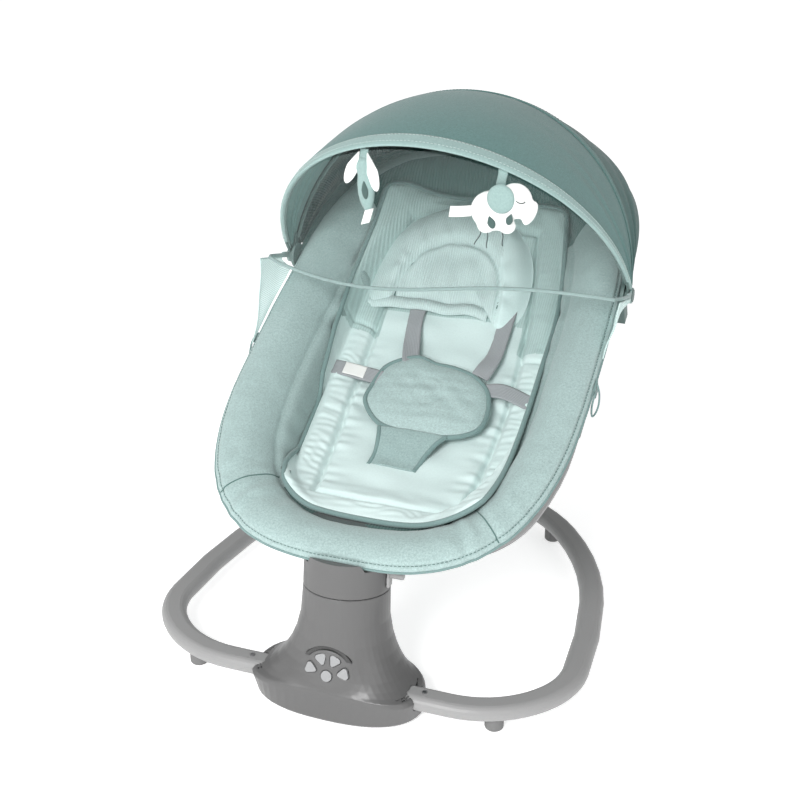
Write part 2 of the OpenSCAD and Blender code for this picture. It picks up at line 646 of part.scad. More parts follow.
// Hanging toys, on ribbons sewn to the front bow
toy_right = bow_point(front_x, front_bow, front_angle, 64.5);
toy_left = bow_point(front_x, front_bow, front_angle, 107);
loop_drop = 8;
module ribbon(length) {
    translate([-6, -0.75, -length]) cube([12, 1.5, length - loop_drop]);
    translate([0, 0, -loop_drop]) x_rod(1.5, 12);
}
module toy_elephant() {
    color([0.95, 0.95, 0.95]) translate(toy_right) {
        ribbon(24);
        translate([0, 0, -50]) rotate([90, 0, 0]) linear_extrude(22, center = true) {
            circle(r = 28);
            translate([-22, -8]) circle(r = 20);
            translate([24, 0]) circle(r = 20);
        }
    }
}
module toy_bird() {
    color([0.7, 0.82, 0.79]) translate(toy_left) {
        ribbon(20);
        translate([0, 0, -56]) rotate([90, 0, 0]) linear_extrude(15, center = true) {
            circle(r = 13);
            translate([-3, 24]) circle(r = 15);
            translate([2, -24]) circle(r = 11);
        }
    }
}

floor_tube();
tube_screws();
front_feet();
rear_feet();
column_housing();
base_plate();
plate_screws();
power_inlet();
control_board();
dome_pad();
indicator_window();
button_centre();
button_outer_left();
button_inner_left();
button_inner_right();
button_outer_right();
bearing_carrier();
upper_bearing();
lower_bearing();
drive_coil();
head_shell();
spindle();
magnet_arm();
spindle_clip();
recline_lever();
lever_spring();
tilt_pin();
seat_bracket();
bracket_bolts();
seat_frame_tube();
frame_sleeves();
seat_basket();
seat_board();
seat_pad();
head_pillow();
shoulder_straps();
waist_straps();
waist_pad();
crotch_strap();
harness_buckle();
rim_clips();
hub_left();
hub_right();
canopy_rear();
middle_bow_rod();
canopy_front();
front_bow_rod();
net_hoop();
insect_net();
side_nets();
toy_elephant();
toy_bird();
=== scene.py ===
import json
import math

import bmesh
import bpy
import numpy as np
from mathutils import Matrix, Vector

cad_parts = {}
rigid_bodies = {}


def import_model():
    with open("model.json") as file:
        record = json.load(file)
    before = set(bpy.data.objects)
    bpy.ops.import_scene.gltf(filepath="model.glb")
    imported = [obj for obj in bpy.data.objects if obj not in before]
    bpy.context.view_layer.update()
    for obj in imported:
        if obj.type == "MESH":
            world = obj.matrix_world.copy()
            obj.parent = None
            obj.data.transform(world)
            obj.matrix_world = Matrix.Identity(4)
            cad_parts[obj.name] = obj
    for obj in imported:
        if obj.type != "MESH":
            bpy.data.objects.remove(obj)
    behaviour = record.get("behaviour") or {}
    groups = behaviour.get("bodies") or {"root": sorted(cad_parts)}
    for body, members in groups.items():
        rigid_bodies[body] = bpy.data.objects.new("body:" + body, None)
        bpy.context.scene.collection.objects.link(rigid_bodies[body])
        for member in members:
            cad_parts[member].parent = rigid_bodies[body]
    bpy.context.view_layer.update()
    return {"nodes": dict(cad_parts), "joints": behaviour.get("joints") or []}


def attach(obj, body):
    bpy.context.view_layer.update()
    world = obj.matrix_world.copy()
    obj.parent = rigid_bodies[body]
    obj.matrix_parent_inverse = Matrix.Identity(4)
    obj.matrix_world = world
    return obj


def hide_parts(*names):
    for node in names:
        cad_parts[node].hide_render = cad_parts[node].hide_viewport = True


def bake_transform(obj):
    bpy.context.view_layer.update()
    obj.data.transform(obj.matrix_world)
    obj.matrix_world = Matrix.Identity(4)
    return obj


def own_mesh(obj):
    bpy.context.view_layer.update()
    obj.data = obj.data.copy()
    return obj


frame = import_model()

# ------------------------------ where things are, in millimetres
MM = 0.001
JOINTS = {joint["name"]: joint for joint in frame["joints"]}
HUB = np.array(JOINTS["canopy_middle"]["pos_m"]) * 1000
TILT = math.radians(25.5)
HUB_Y, HUB_Z = HUB[1], HUB[2]


def seat(x, s, w):
    """Seat coordinates (across, along the seat, above the hub axis's plane) as points in the row frame."""
    x, s, w = np.broadcast_arrays(np.asarray(x, float), s, w)
    return np.stack([x, HUB_Y + s * math.cos(TILT) - w * math.sin(TILT),
                     HUB_Z + s * math.sin(TILT) + w * math.cos(TILT)], -1)


def fan(x, radius, degrees):
    """Points at a radius from the hub axis, at an angle up from +Y."""
    x, radius, degrees = np.broadcast_arrays(np.asarray(x, float), radius, degrees)
    a = np.radians(degrees)
    return np.stack([x, HUB_Y + radius * np.cos(a), HUB_Z + radius * np.sin(a)], -1)


def hollow(s):
    return np.maximum(0, 1 - ((np.asarray(s, float) + 130) / 290) ** 2)


def pad_top(s):
    return -30 - 55 * hollow(s)


def signed_power(v, e):
    return np.sign(v) * np.abs(v) ** e


def bell(v, width):
    return np.exp(-(np.asarray(v, float) / width) ** 2)


def step(v, low, high):
    t = np.clip((np.asarray(v, float) - low) / (high - low), 0, 1)
    return t * t * (3 - 2 * t)


def ripple(a, b, seed, size, terms=9):
    """Smooth random waves of about that size, roughly from -1 to 1."""
    rng = np.random.default_rng(seed)
    total = 0.0
    for _ in range(terms):
        angle, phase = rng.uniform(0, 2 * math.pi, 2)
        k = 2 * math.pi / (size * rng.uniform(0.7, 1.6))
        total = total + np.sin(k * (a * math.cos(angle) + b * math.sin(angle)) + phase)
    return total / math.sqrt(terms)


def curve_through(points, count, closed=False):
    """Catmull-Rom curve through the points."""
    p = np.array(points, float)
    n = len(p)
    t = np.linspace(0, n if closed else n - 1, count, endpoint=not closed)
    i = np.minimum(np.floor(t).astype(int), n - 1 if closed else n - 2)
    f = (t - i)[:, None]
    pick = (lambda k: p[k % n]) if closed else (lambda k: p[np.clip(k, 0, n - 1)])
    a, b, c, d = pick(i - 1), pick(i), pick(i + 1), pick(i + 2)
    square, cube = 2 * a - 5 * b + 4 * c - d, 3 * b - a - 3 * c + d
    return 0.5 * (2 * b + (c - a) * f + square * f ** 2 + cube * f ** 3)


def normals_of(grid, wrap=False):
    down = np.gradient(grid, axis=0)
    if wrap:
        across = (np.roll(grid, -1, 1) - np.roll(grid, 1, 1)) / 2
    else:
        across = np.gradient(grid, axis=1)
    n = np.cross(across, down)
    return n / np.maximum(np.linalg.norm(n, axis=-1, keepdims=True), 1e-9)


# ------------------------------ materials
WAVE_SCALE = math.pi / 10     # a wave texture's scale for bands one metre apart
WEAVE, NET_CELL = 0.0011, 0.0022


class Nodes:
    """A material's node tree, with short calls to add nodes and links."""

    def __init__(self, name):
        self.material = bpy.data.materials.new(name)
        self.material.use_nodes = True
        self.tree = self.material.node_tree
        self.shader = self.tree.nodes["Principled BSDF"]
        self.out = self.tree.nodes["Material Output"]
        self.where = self.add("ShaderNodeTexCoord")

    def add(self, kind, inputs=None, **settings):
        node = self.tree.nodes.new(kind)
        for key, value in settings.items():
            setattr(node, key, value)
        for key, value in (inputs or {}).items():
            if isinstance(value, bpy.types.NodeSocket):
                self.tree.links.new(value, node.inputs[key])
            else:
                node.inputs[key].default_value = value
        return node

    def noise(self, scale, detail=2.0, rough=0.55):
        return self.add("ShaderNodeTexNoise", {"Vector": self.where.outputs["Object"], "Scale": scale,
                                               "Detail": detail, "Roughness": rough}).outputs[0]

    def bands(self, period, direction):
        """Sine bands with a period in metres, from 0 to 1."""
        inputs = {"Vector": self.where.outputs["UV"], "Scale": WAVE_SCALE / period, "Detail": 1.0}
        return self.add("ShaderNodeTexWave", inputs, wave_type="BANDS", bands_direction=direction).outputs[1]

    def remap(self, value, **ends):
        """The value mapped between ranges: from_low, from_high, to_low and to_high."""
        inputs = {0: value}
        for key, place in (("from_low", 1), ("from_high", 2), ("to_low", 3), ("to_high", 4)):
            if key in ends:
                inputs[place] = ends[key]
        return self.add("ShaderNodeMapRange", inputs).outputs[0]

    def maths(self, kind, a, b):
        return self.add("ShaderNodeMath", {0: a, 1: b}, operation=kind).outputs[0]

    def mix(self, amount, a, b):
        node = self.add("ShaderNodeMix", data_type="RGBA")
        for socket, value in ((node.inputs[0], amount), (node.inputs[6], a), (node.inputs[7], b)):
            if isinstance(value, bpy.types.NodeSocket):
                self.tree.links.new(value, socket)
            else:
                socket.default_value = value
        return node.outputs[2]

    def bump(self, height, distance, strength=1.0, under=None):
        inputs = {"Height": height, "Distance": distance, "Strength": strength}
        if under is not None:
            inputs["Normal"] = under
        return self.add("ShaderNodeBump", inputs).outputs[0]

    def link(self, value, key):
        self.tree.links.new(value, self.shader.inputs[key])

    def put(self, **values):
        for key, value in values.items():
            self.shader.inputs[key.replace("_", " ")].default_value = value


def linear(rgb):
    """A colour given as sRGB from 0 to 255, as linear RGBA."""
    return tuple((v / 255 / 12.92) if v <= 10 else ((v / 255 + 0.055) / 1.055) ** 2.4 for v in rgb) + (1.0,)


def scaled(colour, share):
    """A linear colour, made darker or lighter."""
    return tuple(min(1.0, c * share) for c in colour[:3]) + (1.0,)


def hard(name, rgb, rough, metal=0.0, coat=0.0):
    """Plastic, rubber or metal: a little tone and gloss variation and a very fine grain."""
    m = Nodes(name)
    base = linear(rgb)
    m.link(m.mix(m.noise(9.0), scaled(base, 0.94), base), "Base Color")
    wear = m.noise(60.0, 3.0)
    m.link(m.remap(wear, to_low=rough * 0.9, to_high=min(1.0, rough * 1.12)), "Roughness")
    m.link(m.bump(m.noise(1400.0, 1.0), 0.00004, 0.35), "Normal")
    m.put(Metallic=metal)
    if coat:
        m.put(Coat_Weight=coat, Coat_Roughness=0.12)
    return m.material


def cloth(name, rgb, speck=0.16, rib=None, rib_depth=0.0004, through=0.0, sheen=0.25, cross=True):
    """Woven cloth: heathered yarns, a fine weave if cross, and ribs with painted shade in their grooves if
    rib is a period in metres.
    """
    m = Nodes(name)
    base = linear(rgb)
    heather = m.remap(m.noise(430.0, 4.0, rough=0.85), from_low=0.3, from_high=0.7)
    yarn = m.mix(heather, scaled(base, 1 - speck), scaled(base, 1 + speck))
    colour = m.mix(m.maths("MULTIPLY", m.noise(14.0, 2.0), 0.12), yarn, scaled(base, 0.88))
    normal = m.bump(m.noise(700.0, 2.0), 0.0003, 0.5)
    if cross:
        weave = m.maths("MAXIMUM", m.bands(WEAVE, "X"), m.bands(WEAVE, "Y"))
        normal = m.bump(weave, 0.00018, 0.7, normal)
    if rib:
        ribs = m.bands(rib, "X")
        normal = m.bump(ribs, rib_depth, 0.9, normal)
        # The rib grooves are darkened in colour: painted shade.
        colour = m.mix(m.maths("MULTIPLY", m.maths("SUBTRACT", 1.0, ribs), 0.4), colour, scaled(base, 0.72))
    m.link(colour, "Base Color")
    m.link(normal, "Normal")
    m.put(Roughness=0.92, Sheen_Weight=sheen, Sheen_Roughness=0.5, Specular_IOR_Level=0.2)
    if through:
        back = m.add("ShaderNodeBsdfTranslucent", {"Color": colour, "Normal": normal}).outputs[0]
        both = m.add("ShaderNodeMixShader", {0: through, 1: m.shader.outputs[0], 2: back}).outputs[0]
        m.tree.links.new(both, m.out.inputs[0])
    return m.material


def mesh_cloth(name, rgb, cover):
    """Open net: thin threads both ways, clear between."""
    m = Nodes(name)
    thread = m.maths("MAXIMUM", m.bands(NET_CELL, "X"), m.bands(NET_CELL, "Y"))
    edge = m.remap(thread, from_low=0.45, from_high=0.95, to_low=cover * 0.55, to_high=min(1.0, cover * 1.7))
    clouds = m.maths("MULTIPLY", m.noise(7.0, 1.0), cover * 0.3)
    m.link(m.mix(m.noise(300.0), linear(rgb), scaled(linear(rgb), 1.1)), "Base Color")
    m.put(Roughness=0.8, Sheen_Weight=0.3)
    m.link(m.bump(thread, 0.0002, 0.6), "Normal")
    back = m.add("ShaderNodeBsdfTranslucent", {"Color": linear(rgb)}).outputs[0]
    solid = m.add("ShaderNodeMixShader", {0: 0.5, 1: m.shader.outputs[0], 2: back}).outputs[0]
    clear = m.add("ShaderNodeBsdfTransparent").outputs[0]
    amount = m.maths("ADD", edge, clouds)
    mixed = m.add("ShaderNodeMixShader", {0: amount, 1: clear, 2: solid}).outputs[0]
    m.tree.links.new(mixed, m.out.inputs[0])
    return m.material


PAINT = hard("painted_tube", (145, 145, 145), 0.5, coat=0.05)
SHELL = hard("grey_shell", (90, 90, 90), 0.42, coat=0.12)
DARK = hard("dark_plastic", (52, 58, 58), 0.5)
HUB_GREEN = hard("hub_plastic", (92, 112, 109), 0.55)
BLACK = hard("window_plastic", (62, 62, 62), 0.25)
KEY = hard("key_plastic", (146, 147, 148), 0.42, coat=0.1)
LEVER = hard("lever_plastic", (150, 150, 150), 0.42)
STEEL = hard("bare_steel", (170, 170, 172), 0.32, metal=1.0)
RUBBER = hard("foot_rubber", (112, 112, 112), 0.75)
BOARD = hard("board_green", (40, 96, 62), 0.5)
COPPER = hard("copper_wire", (184, 115, 72), 0.35, metal=1.0)
SILICONE = hard("silicone", (206, 206, 200), 0.6)
BUCKLE = hard("buckle_plastic", (120, 123, 126), 0.42)
RIM = cloth("rim_cloth", (158, 179, 177), speck=0.28)
WALL = cloth("wall_cloth", (150, 170, 168), speck=0.24)
# Ribbed liner cloth. Its dark colour also stands for the shade under the canopy: painted shade where it
# covers the rim's head end.
LINER_AND_PAINTED_SHADE = cloth("liner_mesh_and_painted_shade", (82, 114, 110), speck=0.14, rib=0.0042, rib_depth=0.0006)
UNDER = cloth("under_cloth", (84, 96, 95), speck=0.15)
PAD = cloth("pad_cloth", (211, 229, 227), speck=0.05, cross=False, through=0.08)
PAD_RIB = cloth("pad_ribbed", (186, 210, 207), speck=0.07, rib=0.0036, through=0.05)
PILLOW = cloth("pillow_ribbed", (202, 222, 220), speck=0.06, rib=0.0034, rib_depth=0.0005)
PILLOW_SIDE = cloth("pillow_side", (208, 228, 226), speck=0.06)
BINDING = cloth("binding_tape", (116, 140, 138), speck=0.12)
HOOP_CLOTH = cloth("hoop_cloth", (140, 160, 158), speck=0.14)
WAIST = cloth("waist_cloth", (166, 187, 185), speck=0.28)
CROTCH = cloth("crotch_cloth", (146, 168, 166), speck=0.26)
WEBBING = cloth("webbing", (160, 164, 167), speck=0.08, rib=0.0024, rib_depth=0.0003)
LABEL = cloth("blank_label", (232, 233, 230), speck=0.02)
CANOPY = cloth("canopy_cloth", (93, 129, 126), speck=0.26, through=0.04)
CANOPY_IN = cloth("canopy_lining", (116, 150, 146), speck=0.16, through=0.04)
CANOPY_REAR = cloth("canopy_rear_cloth", (74, 104, 101), speck=0.2, through=0.03)
# The hood's rear lining, far darker than its own pale mesh: painted shade for the deep inside of the hood.
REAR_LINING_PAINTED_SHADE = cloth("rear_lining_painted_shade", (30, 50, 48), speck=0.2, rib=0.0042, rib_depth=0.0006)
HEM = cloth("hem_tape", (143, 168, 165), speck=0.16)
THREAD = cloth("seam_thread", (88, 116, 112), speck=0.05, cross=False)
THREAD_PALE = cloth("pale_thread", (186, 206, 203), speck=0.05, cross=False)
NET = mesh_cloth("net_mesh", (190, 208, 206), cover=0.05)
SIDE_NET = mesh_cloth("side_net_mesh", (232, 246, 244), cover=0.72)
PLUSH = cloth("plush_white", (240, 241, 239), speck=0.03, sheen=0.6, cross=False)
PLUSH_MINT = cloth("plush_mint", (140, 164, 161), speck=0.14, sheen=0.3)
PLUSH_DARK = cloth("plush_dark", (72, 92, 89), speck=0.1)
STRING = cloth("toy_string", (60, 70, 70), speck=0.05, cross=False)

CAD_LOOKS = {
    PAINT: ["floor_tube", "seat_frame_tube", "frame_sleeves"],
    SHELL: ["column_housing", "head_shell"],
    STEEL: ["tube_screws", "plate_screws", "upper_bearing", "lower_bearing", "spindle", "spindle_clip",
            "lever_spring", "tilt_pin", "bracket_bolts"],
    RUBBER: ["front_feet", "rear_feet"],
    DARK: ["base_plate", "power_inlet", "bearing_carrier", "magnet_arm", "seat_bracket"],
    HUB_GREEN: ["hub_left", "hub_right", "middle_bow_rod", "front_bow_rod"],
    BLACK: ["indicator_window"],
    KEY: ["button_centre", "button_outer_left", "button_inner_left", "button_inner_right",
          "button_outer_right"],
    LEVER: ["recline_lever"],
    BOARD: ["control_board"],
    COPPER: ["drive_coil"],
    BINDING: ["rim_clips"],
    HOOP_CLOTH: ["net_hoop"],
    SILICONE: ["dome_pad"],
    UNDER: ["seat_board"],
    BUCKLE: ["harness_buckle"],
}
for look, names in CAD_LOOKS.items():
    for node_name in names:
        node = frame["nodes"][node_name]
        if not node.data.materials:
            node.data.materials.append(look)
        for k in range(len(node.material_slots)):
            node.material_slots[k].material = look


# ------------------------------ mesh building
def build(name, verts, faces, looks, body=None, uv=None, which=None):
    """A mesh object from points in millimetres. which gives each face's place in looks."""
    mesh = bpy.data.meshes.new(name)
    points = (np.asarray(verts).reshape(-1, 3) * MM).tolist()
    mesh.from_pydata(points, [], [tuple(map(int, f)) for f in faces])
    for look in looks:
        mesh.materials.append(look)
    if which is not None:
        mesh.polygons.foreach_set("material_index", np.asarray(which, dtype=np.int32))
    mesh.polygons.foreach_set("use_smooth", np.full(len(mesh.polygons), True))
    if uv is not None:
        corner = np.zeros(len(mesh.loops), dtype=np.int32)
        mesh.loops.foreach_get("vertex_index", corner)
        layer = mesh.uv_layers.new(name="UVMap")
        layer.data.foreach_set("uv", (np.asarray(uv, float).reshape(-1, 2) * MM)[corner].ravel())
    shape = bmesh.new()
    shape.from_mesh(mesh)
    bmesh.ops.recalc_face_normals(shape, faces=shape.faces)
    shape.to_mesh(mesh)
    shape.free()
    obj = bpy.data.objects.new(name, mesh)
    bpy.context.scene.collection.objects.link(obj)
    if body:
        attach(obj, body)
    return obj


def quads(m, n, wrap, start=0):
    i, j = np.meshgrid(np.arange(m - 1), np.arange(n if wrap else n - 1), indexing="ij")
    a, b = i * n + j, i * n + (j + 1) % n
    return (np.stack([a, b, b + n, a + n], -1) + start).reshape(-1, 4)


def slab(name, top, thick, looks, body=None, uv=None, top_which=None, under_look=0, wrap=False):
    """A closed sheet: the grid of points, and a second one under it."""
    m, n = top.shape[:2]
    normal = normals_of(top, wrap)
    low = top - normal * thick
    faces = [quads(m, n, wrap), quads(m, n, wrap, m * n)[:, ::-1]]
    ring = lambda idx: np.stack([idx[:-1], idx[:-1] + m * n, idx[1:] + m * n, idx[1:]], -1)
    if wrap:
        for row, flip in ((0, False), (m - 1, True)):
            idx = np.append(row * n + np.arange(n), row * n)
            strip = ring(idx)
            faces.append(strip[:, ::-1] if flip else strip)
    else:
        around = np.concatenate([np.arange(n), np.arange(2 * n - 1, m * n, n),
                                 np.arange(m * n - 2, (m - 1) * n - 1, -1), np.arange((m - 2) * n, -1, -n)])
        faces.append(ring(around))
    first = top_which.ravel() if top_which is not None else np.zeros(len(faces[0]), int)
    rest = np.full(sum(len(f) for f in faces[1:]), under_look)
    coords = None if uv is None else np.concatenate([uv.reshape(-1, 2)] * 2)
    verts = np.concatenate([top.reshape(-1, 3), low.reshape(-1, 3)])
    return build(name, verts, np.concatenate(faces), looks, body, coords, np.concatenate([first, rest]))


def blob(name, rings, looks, body=None, uv=None, which=None):
    """A closed skin over rings of points, with a fan at each end."""
    m, n = rings.shape[:2]
    verts = np.concatenate([rings.reshape(-1, 3), [rings[0].mean(0)], [rings[-1].mean(0)]])
    j = np.arange(n)
    low = np.stack([np.full(n, m * n), (j + 1) % n, j], -1)
    high = np.stack([np.full(n, m * n + 1), (m - 1) * n + j, (m - 1) * n + (j + 1) % n], -1)
    faces = [tuple(f) for f in quads(m, n, True)] + [tuple(f) for f in low] + [tuple(f) for f in high]
    coords = None
    if uv is not None:
        coords = np.concatenate([uv.reshape(-1, 2), [uv[0].mean(0)], [uv[-1].mean(0)]])
    marks = None
    if which is not None:
        marks = which.ravel()
        marks = np.concatenate([marks, np.full(n, marks[0]), np.full(n, marks[-1])])
    return build(name, verts, faces, looks, body, coords, marks)


def tube(name, path, radius, look, body=None, closed=False, sides=8):
    """A round tube along a path; radius may be one number or one for each point."""
    p = np.asarray(path, float)
    ahead = (np.roll(p, -1, 0) - np.roll(p, 1, 0)) if closed else np.gradient(p, axis=0)
    t = ahead / np.maximum(np.linalg.norm(ahead, axis=1, keepdims=True), 1e-9)
    side = np.zeros_like(p)
    guess = np.array([0, 0, 1.0]) if abs(t[0][2]) < 0.9 else np.array([1.0, 0, 0])
    last = np.cross(t[0], guess)
    for k in range(len(p)):
        last = last - t[k] * (last @ t[k])
        last = last / np.linalg.norm(last)
        side[k] = last
    up = np.cross(side, t)
    a = np.linspace(0, 2 * math.pi, sides, endpoint=False)
    r = np.broadcast_to(np.asarray(radius, float), (len(p),))[:, None, None]
    cos, sin = np.cos(a)[None, :, None], np.sin(a)[None, :, None]
    rings = p[:, None] + r * (cos * side[:, None] + sin * up[:, None])
    if not closed:
        return blob(name, rings, [look], body)
    faces = quads(len(p) + 1, sides, True) % (len(p) * sides)
    return build(name, rings, faces, [look], body)


def stitches(name, path, look, body=None, pitch=5.0, share=0.6, radius=0.45):
    """A row of short stitches along a path."""
    p = np.asarray(path, float)
    length = np.concatenate([[0], np.cumsum(np.linalg.norm(np.diff(p, axis=0), axis=1))])
    starts = np.arange(0, length[-1] - pitch * share, pitch)
    verts, faces = [], []
    for start in starts:
        ends = (start, start + pitch * share)
        a, b = (np.array([np.interp(d, length, p[:, k]) for k in range(3)]) for d in ends)
        t = (b - a) / np.linalg.norm(b - a)
        u = np.cross(t, [0.3, 0.5, 0.81])
        u = u / np.linalg.norm(u) * radius
        v = np.cross(t, u)
        base = len(verts)
        for end, r in ((a, 1.0), (b, 1.0)):
            verts += [end + u * r, end + v * r, end - u * r, end - v * r]
        for k in range(4):
            faces.append((base + k, base + (k + 1) % 4, base + 4 + (k + 1) % 4, base + 4 + k))
        faces += [(base + 3, base + 2, base + 1, base), (base + 4, base + 5, base + 6, base + 7)]
    return build(name, verts, faces, [look], body)


def webbing(name, centre, across, width, thick, look, body=None):
    """A flat strap along a centreline; across gives the width's direction at each point."""
    c = np.asarray(centre, float)
    side = np.broadcast_to(np.asarray(across, float), c.shape)
    side = side / np.linalg.norm(side, axis=1, keepdims=True)
    k = np.linspace(-0.5, 0.5, 9)
    top = c[:, None] + side[:, None] * (k * width)[None, :, None]
    run = np.concatenate([[0], np.cumsum(np.linalg.norm(np.diff(c, axis=0), axis=1))])
    uv = np.stack(np.broadcast_arrays((k * width)[None, :], run[:, None]), -1)
    return slab(name, top, thick, [look], body, uv)


def melt_and_relax(obj, cell, iterations, factor):
    """Modifiers that give an object one even skin, and smooth it."""
    melt = obj.modifiers.new("melt", "REMESH")
    melt.mode = "VOXEL"
    melt.voxel_size = cell
    melt.use_smooth_shade = True
    relax = obj.modifiers.new("relax", "SMOOTH")
    relax.iterations = iterations
    relax.factor = factor


# ------------------------------ camera, light and floor
FOCUS = np.array([-12.67, HUB_Y - 195.0, 300.0]) * MM
AZIMUTH, ELEVATION, DISTANCE = math.radians(19.773), math.radians(25.196), 1.890
camera_data = bpy.data.cameras.new("camera")
camera = bpy.data.objects.new("camera", camera_data)
bpy.context.scene.collection.objects.link(camera)
camera_data.lens = 63.0
camera_data.sensor_width = 36.0
toward = Vector((math.sin(AZIMUTH) * math.cos(ELEVATION), -math.cos(AZIMUTH) * math.cos(ELEVATION),
                 math.sin(ELEVATION)))
camera.location = Vector(FOCUS) + toward * DISTANCE
camera.rotation_euler = (-toward).to_track_quat("-Z", "Y").to_euler()
bpy.context.scene.camera = camera


LIGHTS_AIM = Vector((0, 0, 0.3))


def area_light(name, place, size, power):
    data = bpy.data.lights.new(name, "AREA")
    data.shape = "DISK"
    data.size = size
    data.energy = power
    light = bpy.data.objects.new(name, data)
    bpy.context.scene.collection.objects.link(light)
    light.location = place
    light.rotation_euler = (LIGHTS_AIM - Vector(place)).to_track_quat("-Z", "Y").to_euler()


area_light("key", (-0.3, -2.75, 1.95), 1.4, 86)
area_light("fill", (2.1, -1.7, 1.2), 2.0, 14)
area_light("side", (-2.4, -0.6, 1.4), 1.8, 8)
world = bpy.data.worlds.new("studio")
world.use_nodes = True
world.node_tree.nodes["Background"].inputs[0].default_value = (1.0, 1.0, 1.0, 1.0)
world.node_tree.nodes["Background"].inputs[1].default_value = 0.5
bpy.context.scene.world = world
bpy.context.scene.view_settings.view_transform = "Standard"
bpy.ops.mesh.primitive_plane_add(size=60, location=(0, 20.0, -0.0005))
floor = bpy.context.object
floor.name = "studio_floor"
floor_look = Nodes("studio_floor")
floor_tone = floor_look.mix(floor_look.noise(0.6), (0.90, 0.90, 0.90, 1), (0.93, 0.93, 0.93, 1))
floor_look.link(floor_tone, "Base Color")
floor_look.put(Roughness=0.9, Emission_Color=(1.0, 1.0, 1.0, 1.0), Emission_Strength=0.56)
floor.data.materials.append(floor_look.material)

# ------------------------------ the padded seat basket
MIDDLE = -171.0                        # where the outline's two ends meet, along the seat
FOOT_POWER, HEAD_POWER = 2.85, 3.4     # how square each end is


def outline(half, foot, head, q):
    """The seat's outline: a squared oval with a foot end and a head end."""
    half, foot, head = (np.asarray(v, float) for v in (half, foot, head))
    down = np.sin(q) < 0
    power = np.where(down, FOOT_POWER, HEAD_POWER)
    reach = np.where(down, foot, head)
    return (half * signed_power(np.cos(q), 2 / power), MIDDLE + reach * signed_power(np.sin(q), 2 / power))


# From the middle of the underside, over the rim, to the middle of the inside. Half width, foot reach,
# head reach, height, share of the hollow, and lift at the foot end.
PROFILE = np.array([
    [10, 20, 40, -66, 55, 0], [60, 110, 190, -66, 54, 0], [130, 205, 305, -64, 52, 0],
    [172, 232, 348, -55, 38, 0], [203, 250, 372, -46, 12, 0], [208, 254, 377, -27, 0, 3],
    [231, 322, 425, -20, 0, 12], [240.5, 333.5, 435, -9, 0, 4], [241.5, 334.5, 436, 1, 0, 0],
    [236, 329, 431, 9, 0, 0], [222, 315, 417, 13, 0, 0], [203, 296, 398, 10, 0, 0],
    [185, 277, 380, -3, 0, 0], [171, 262, 365, -21, 0, 0], [160, 249, 351, -33, 0, 0],
    [153, 241, 342, -46, 18, 0], [146, 234, 335, -58, 46, 0], [130, 205, 305, -61, 50, 0],
    [60, 110, 190, -61, 50, 0], [10, 20, 40, -61, 50, 0]])
# Rows of PROFILE
UNDERSIDE, PIPING, OUTER_SEAM, ROLL, WALL_SEAM, INNER_WALL = 3.2, 7.7, 8.7, 10.5, 13.1, 14.3
ROWS, TURNS = 150, 320
MITRES = (226.0, 314.0)                # turns of the two seams across the rim, in degrees


def near_turn(turn, at, width):
    """A bump at a turn round the outline, all in degrees."""
    return bell(((turn - at + 180) % 360) - 180, width)


profile = curve_through(PROFILE, ROWS)
step_at = np.linspace(0, len(PROFILE) - 1, ROWS)[:, None]
q = np.linspace(0, 2 * math.pi, TURNS, endpoint=False)[None, :]
x, s = outline(profile[:, :1], profile[:, 1:2], profile[:, 2:3], q)
lift = np.clip((-s - 400) / 70, 0, 1)
w = profile[:, 3:4] - profile[:, 4:5] * hollow(s) + profile[:, 5:6] * lift
basket = seat(x, s, w)
outward = -normals_of(basket, True)
outward *= np.sign((outward[8] * (basket[8] - basket.mean((0, 1)))).sum(-1).mean())
turn = np.degrees(q)
roll = bell(step_at - ROLL, 2.6)
wall = bell(step_at - INNER_WALL, 1.6)
corner = near_turn(turn, 232, 16) + near_turn(turn, 308, 16)
push = 1.6 * roll * ripple(x, s, 4, 120) + 0.5 * roll * ripple(x, s, 8, 34)
push += 1.5 * roll * corner * np.sin(turn * 0.62 + 1.2 * ripple(x, s, 3, 60))
for mitre in MITRES:
    push -= 2.6 * roll * near_turn(turn, mitre, 1.7)
push -= 2.2 * bell(step_at - OUTER_SEAM, 0.22)
push -= 2.4 * bell(step_at - WALL_SEAM, 0.25)
push += wall * (2.0 * near_turn(turn, 172, 30) + 1.0) * ripple(x * 0.35, s, 12, 46)
push += bell(step_at - UNDERSIDE, 1.5) * (2.6 + 1.3 * ripple(x, s, 15, 90))
basket = basket + outward * push[..., None]

basket_looks = [RIM, WALL, LINER_AND_PAINTED_SHADE, UNDER]
zone = np.full((ROWS - 1, TURNS), basket_looks.index(RIM))
face_row = np.broadcast_to((step_at[:-1] + step_at[1:]) / 2, zone.shape)
face_turn = np.broadcast_to(turn, zone.shape)
face_s = (s[:-1] + s[1:]) / 2
zone[face_row < 6.6] = basket_looks.index(UNDER)
zone[face_row > WALL_SEAM] = basket_looks.index(WALL)
zone[(face_row > WALL_SEAM) & (face_s < -392)] = basket_looks.index(LINER_AND_PAINTED_SHADE)
# The rim's inner side at the head end, under the canopy, gets the dark liner cloth: painted shade.
zone[(face_row > 10.3) & (np.abs(face_turn - 90) < 50)] = basket_looks.index(LINER_AND_PAINTED_SHADE)
basket_obj = blob("seat_basket_cloth", basket, basket_looks, "seat", np.stack([x, s], -1), zone)
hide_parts("seat_basket")


def rim_line(at, raise_by=0.0):
    """A line round the rim at a place in PROFILE."""
    row = int(round(at / (len(PROFILE) - 1) * (ROWS - 1)))
    return basket[row] + outward[row] * raise_by


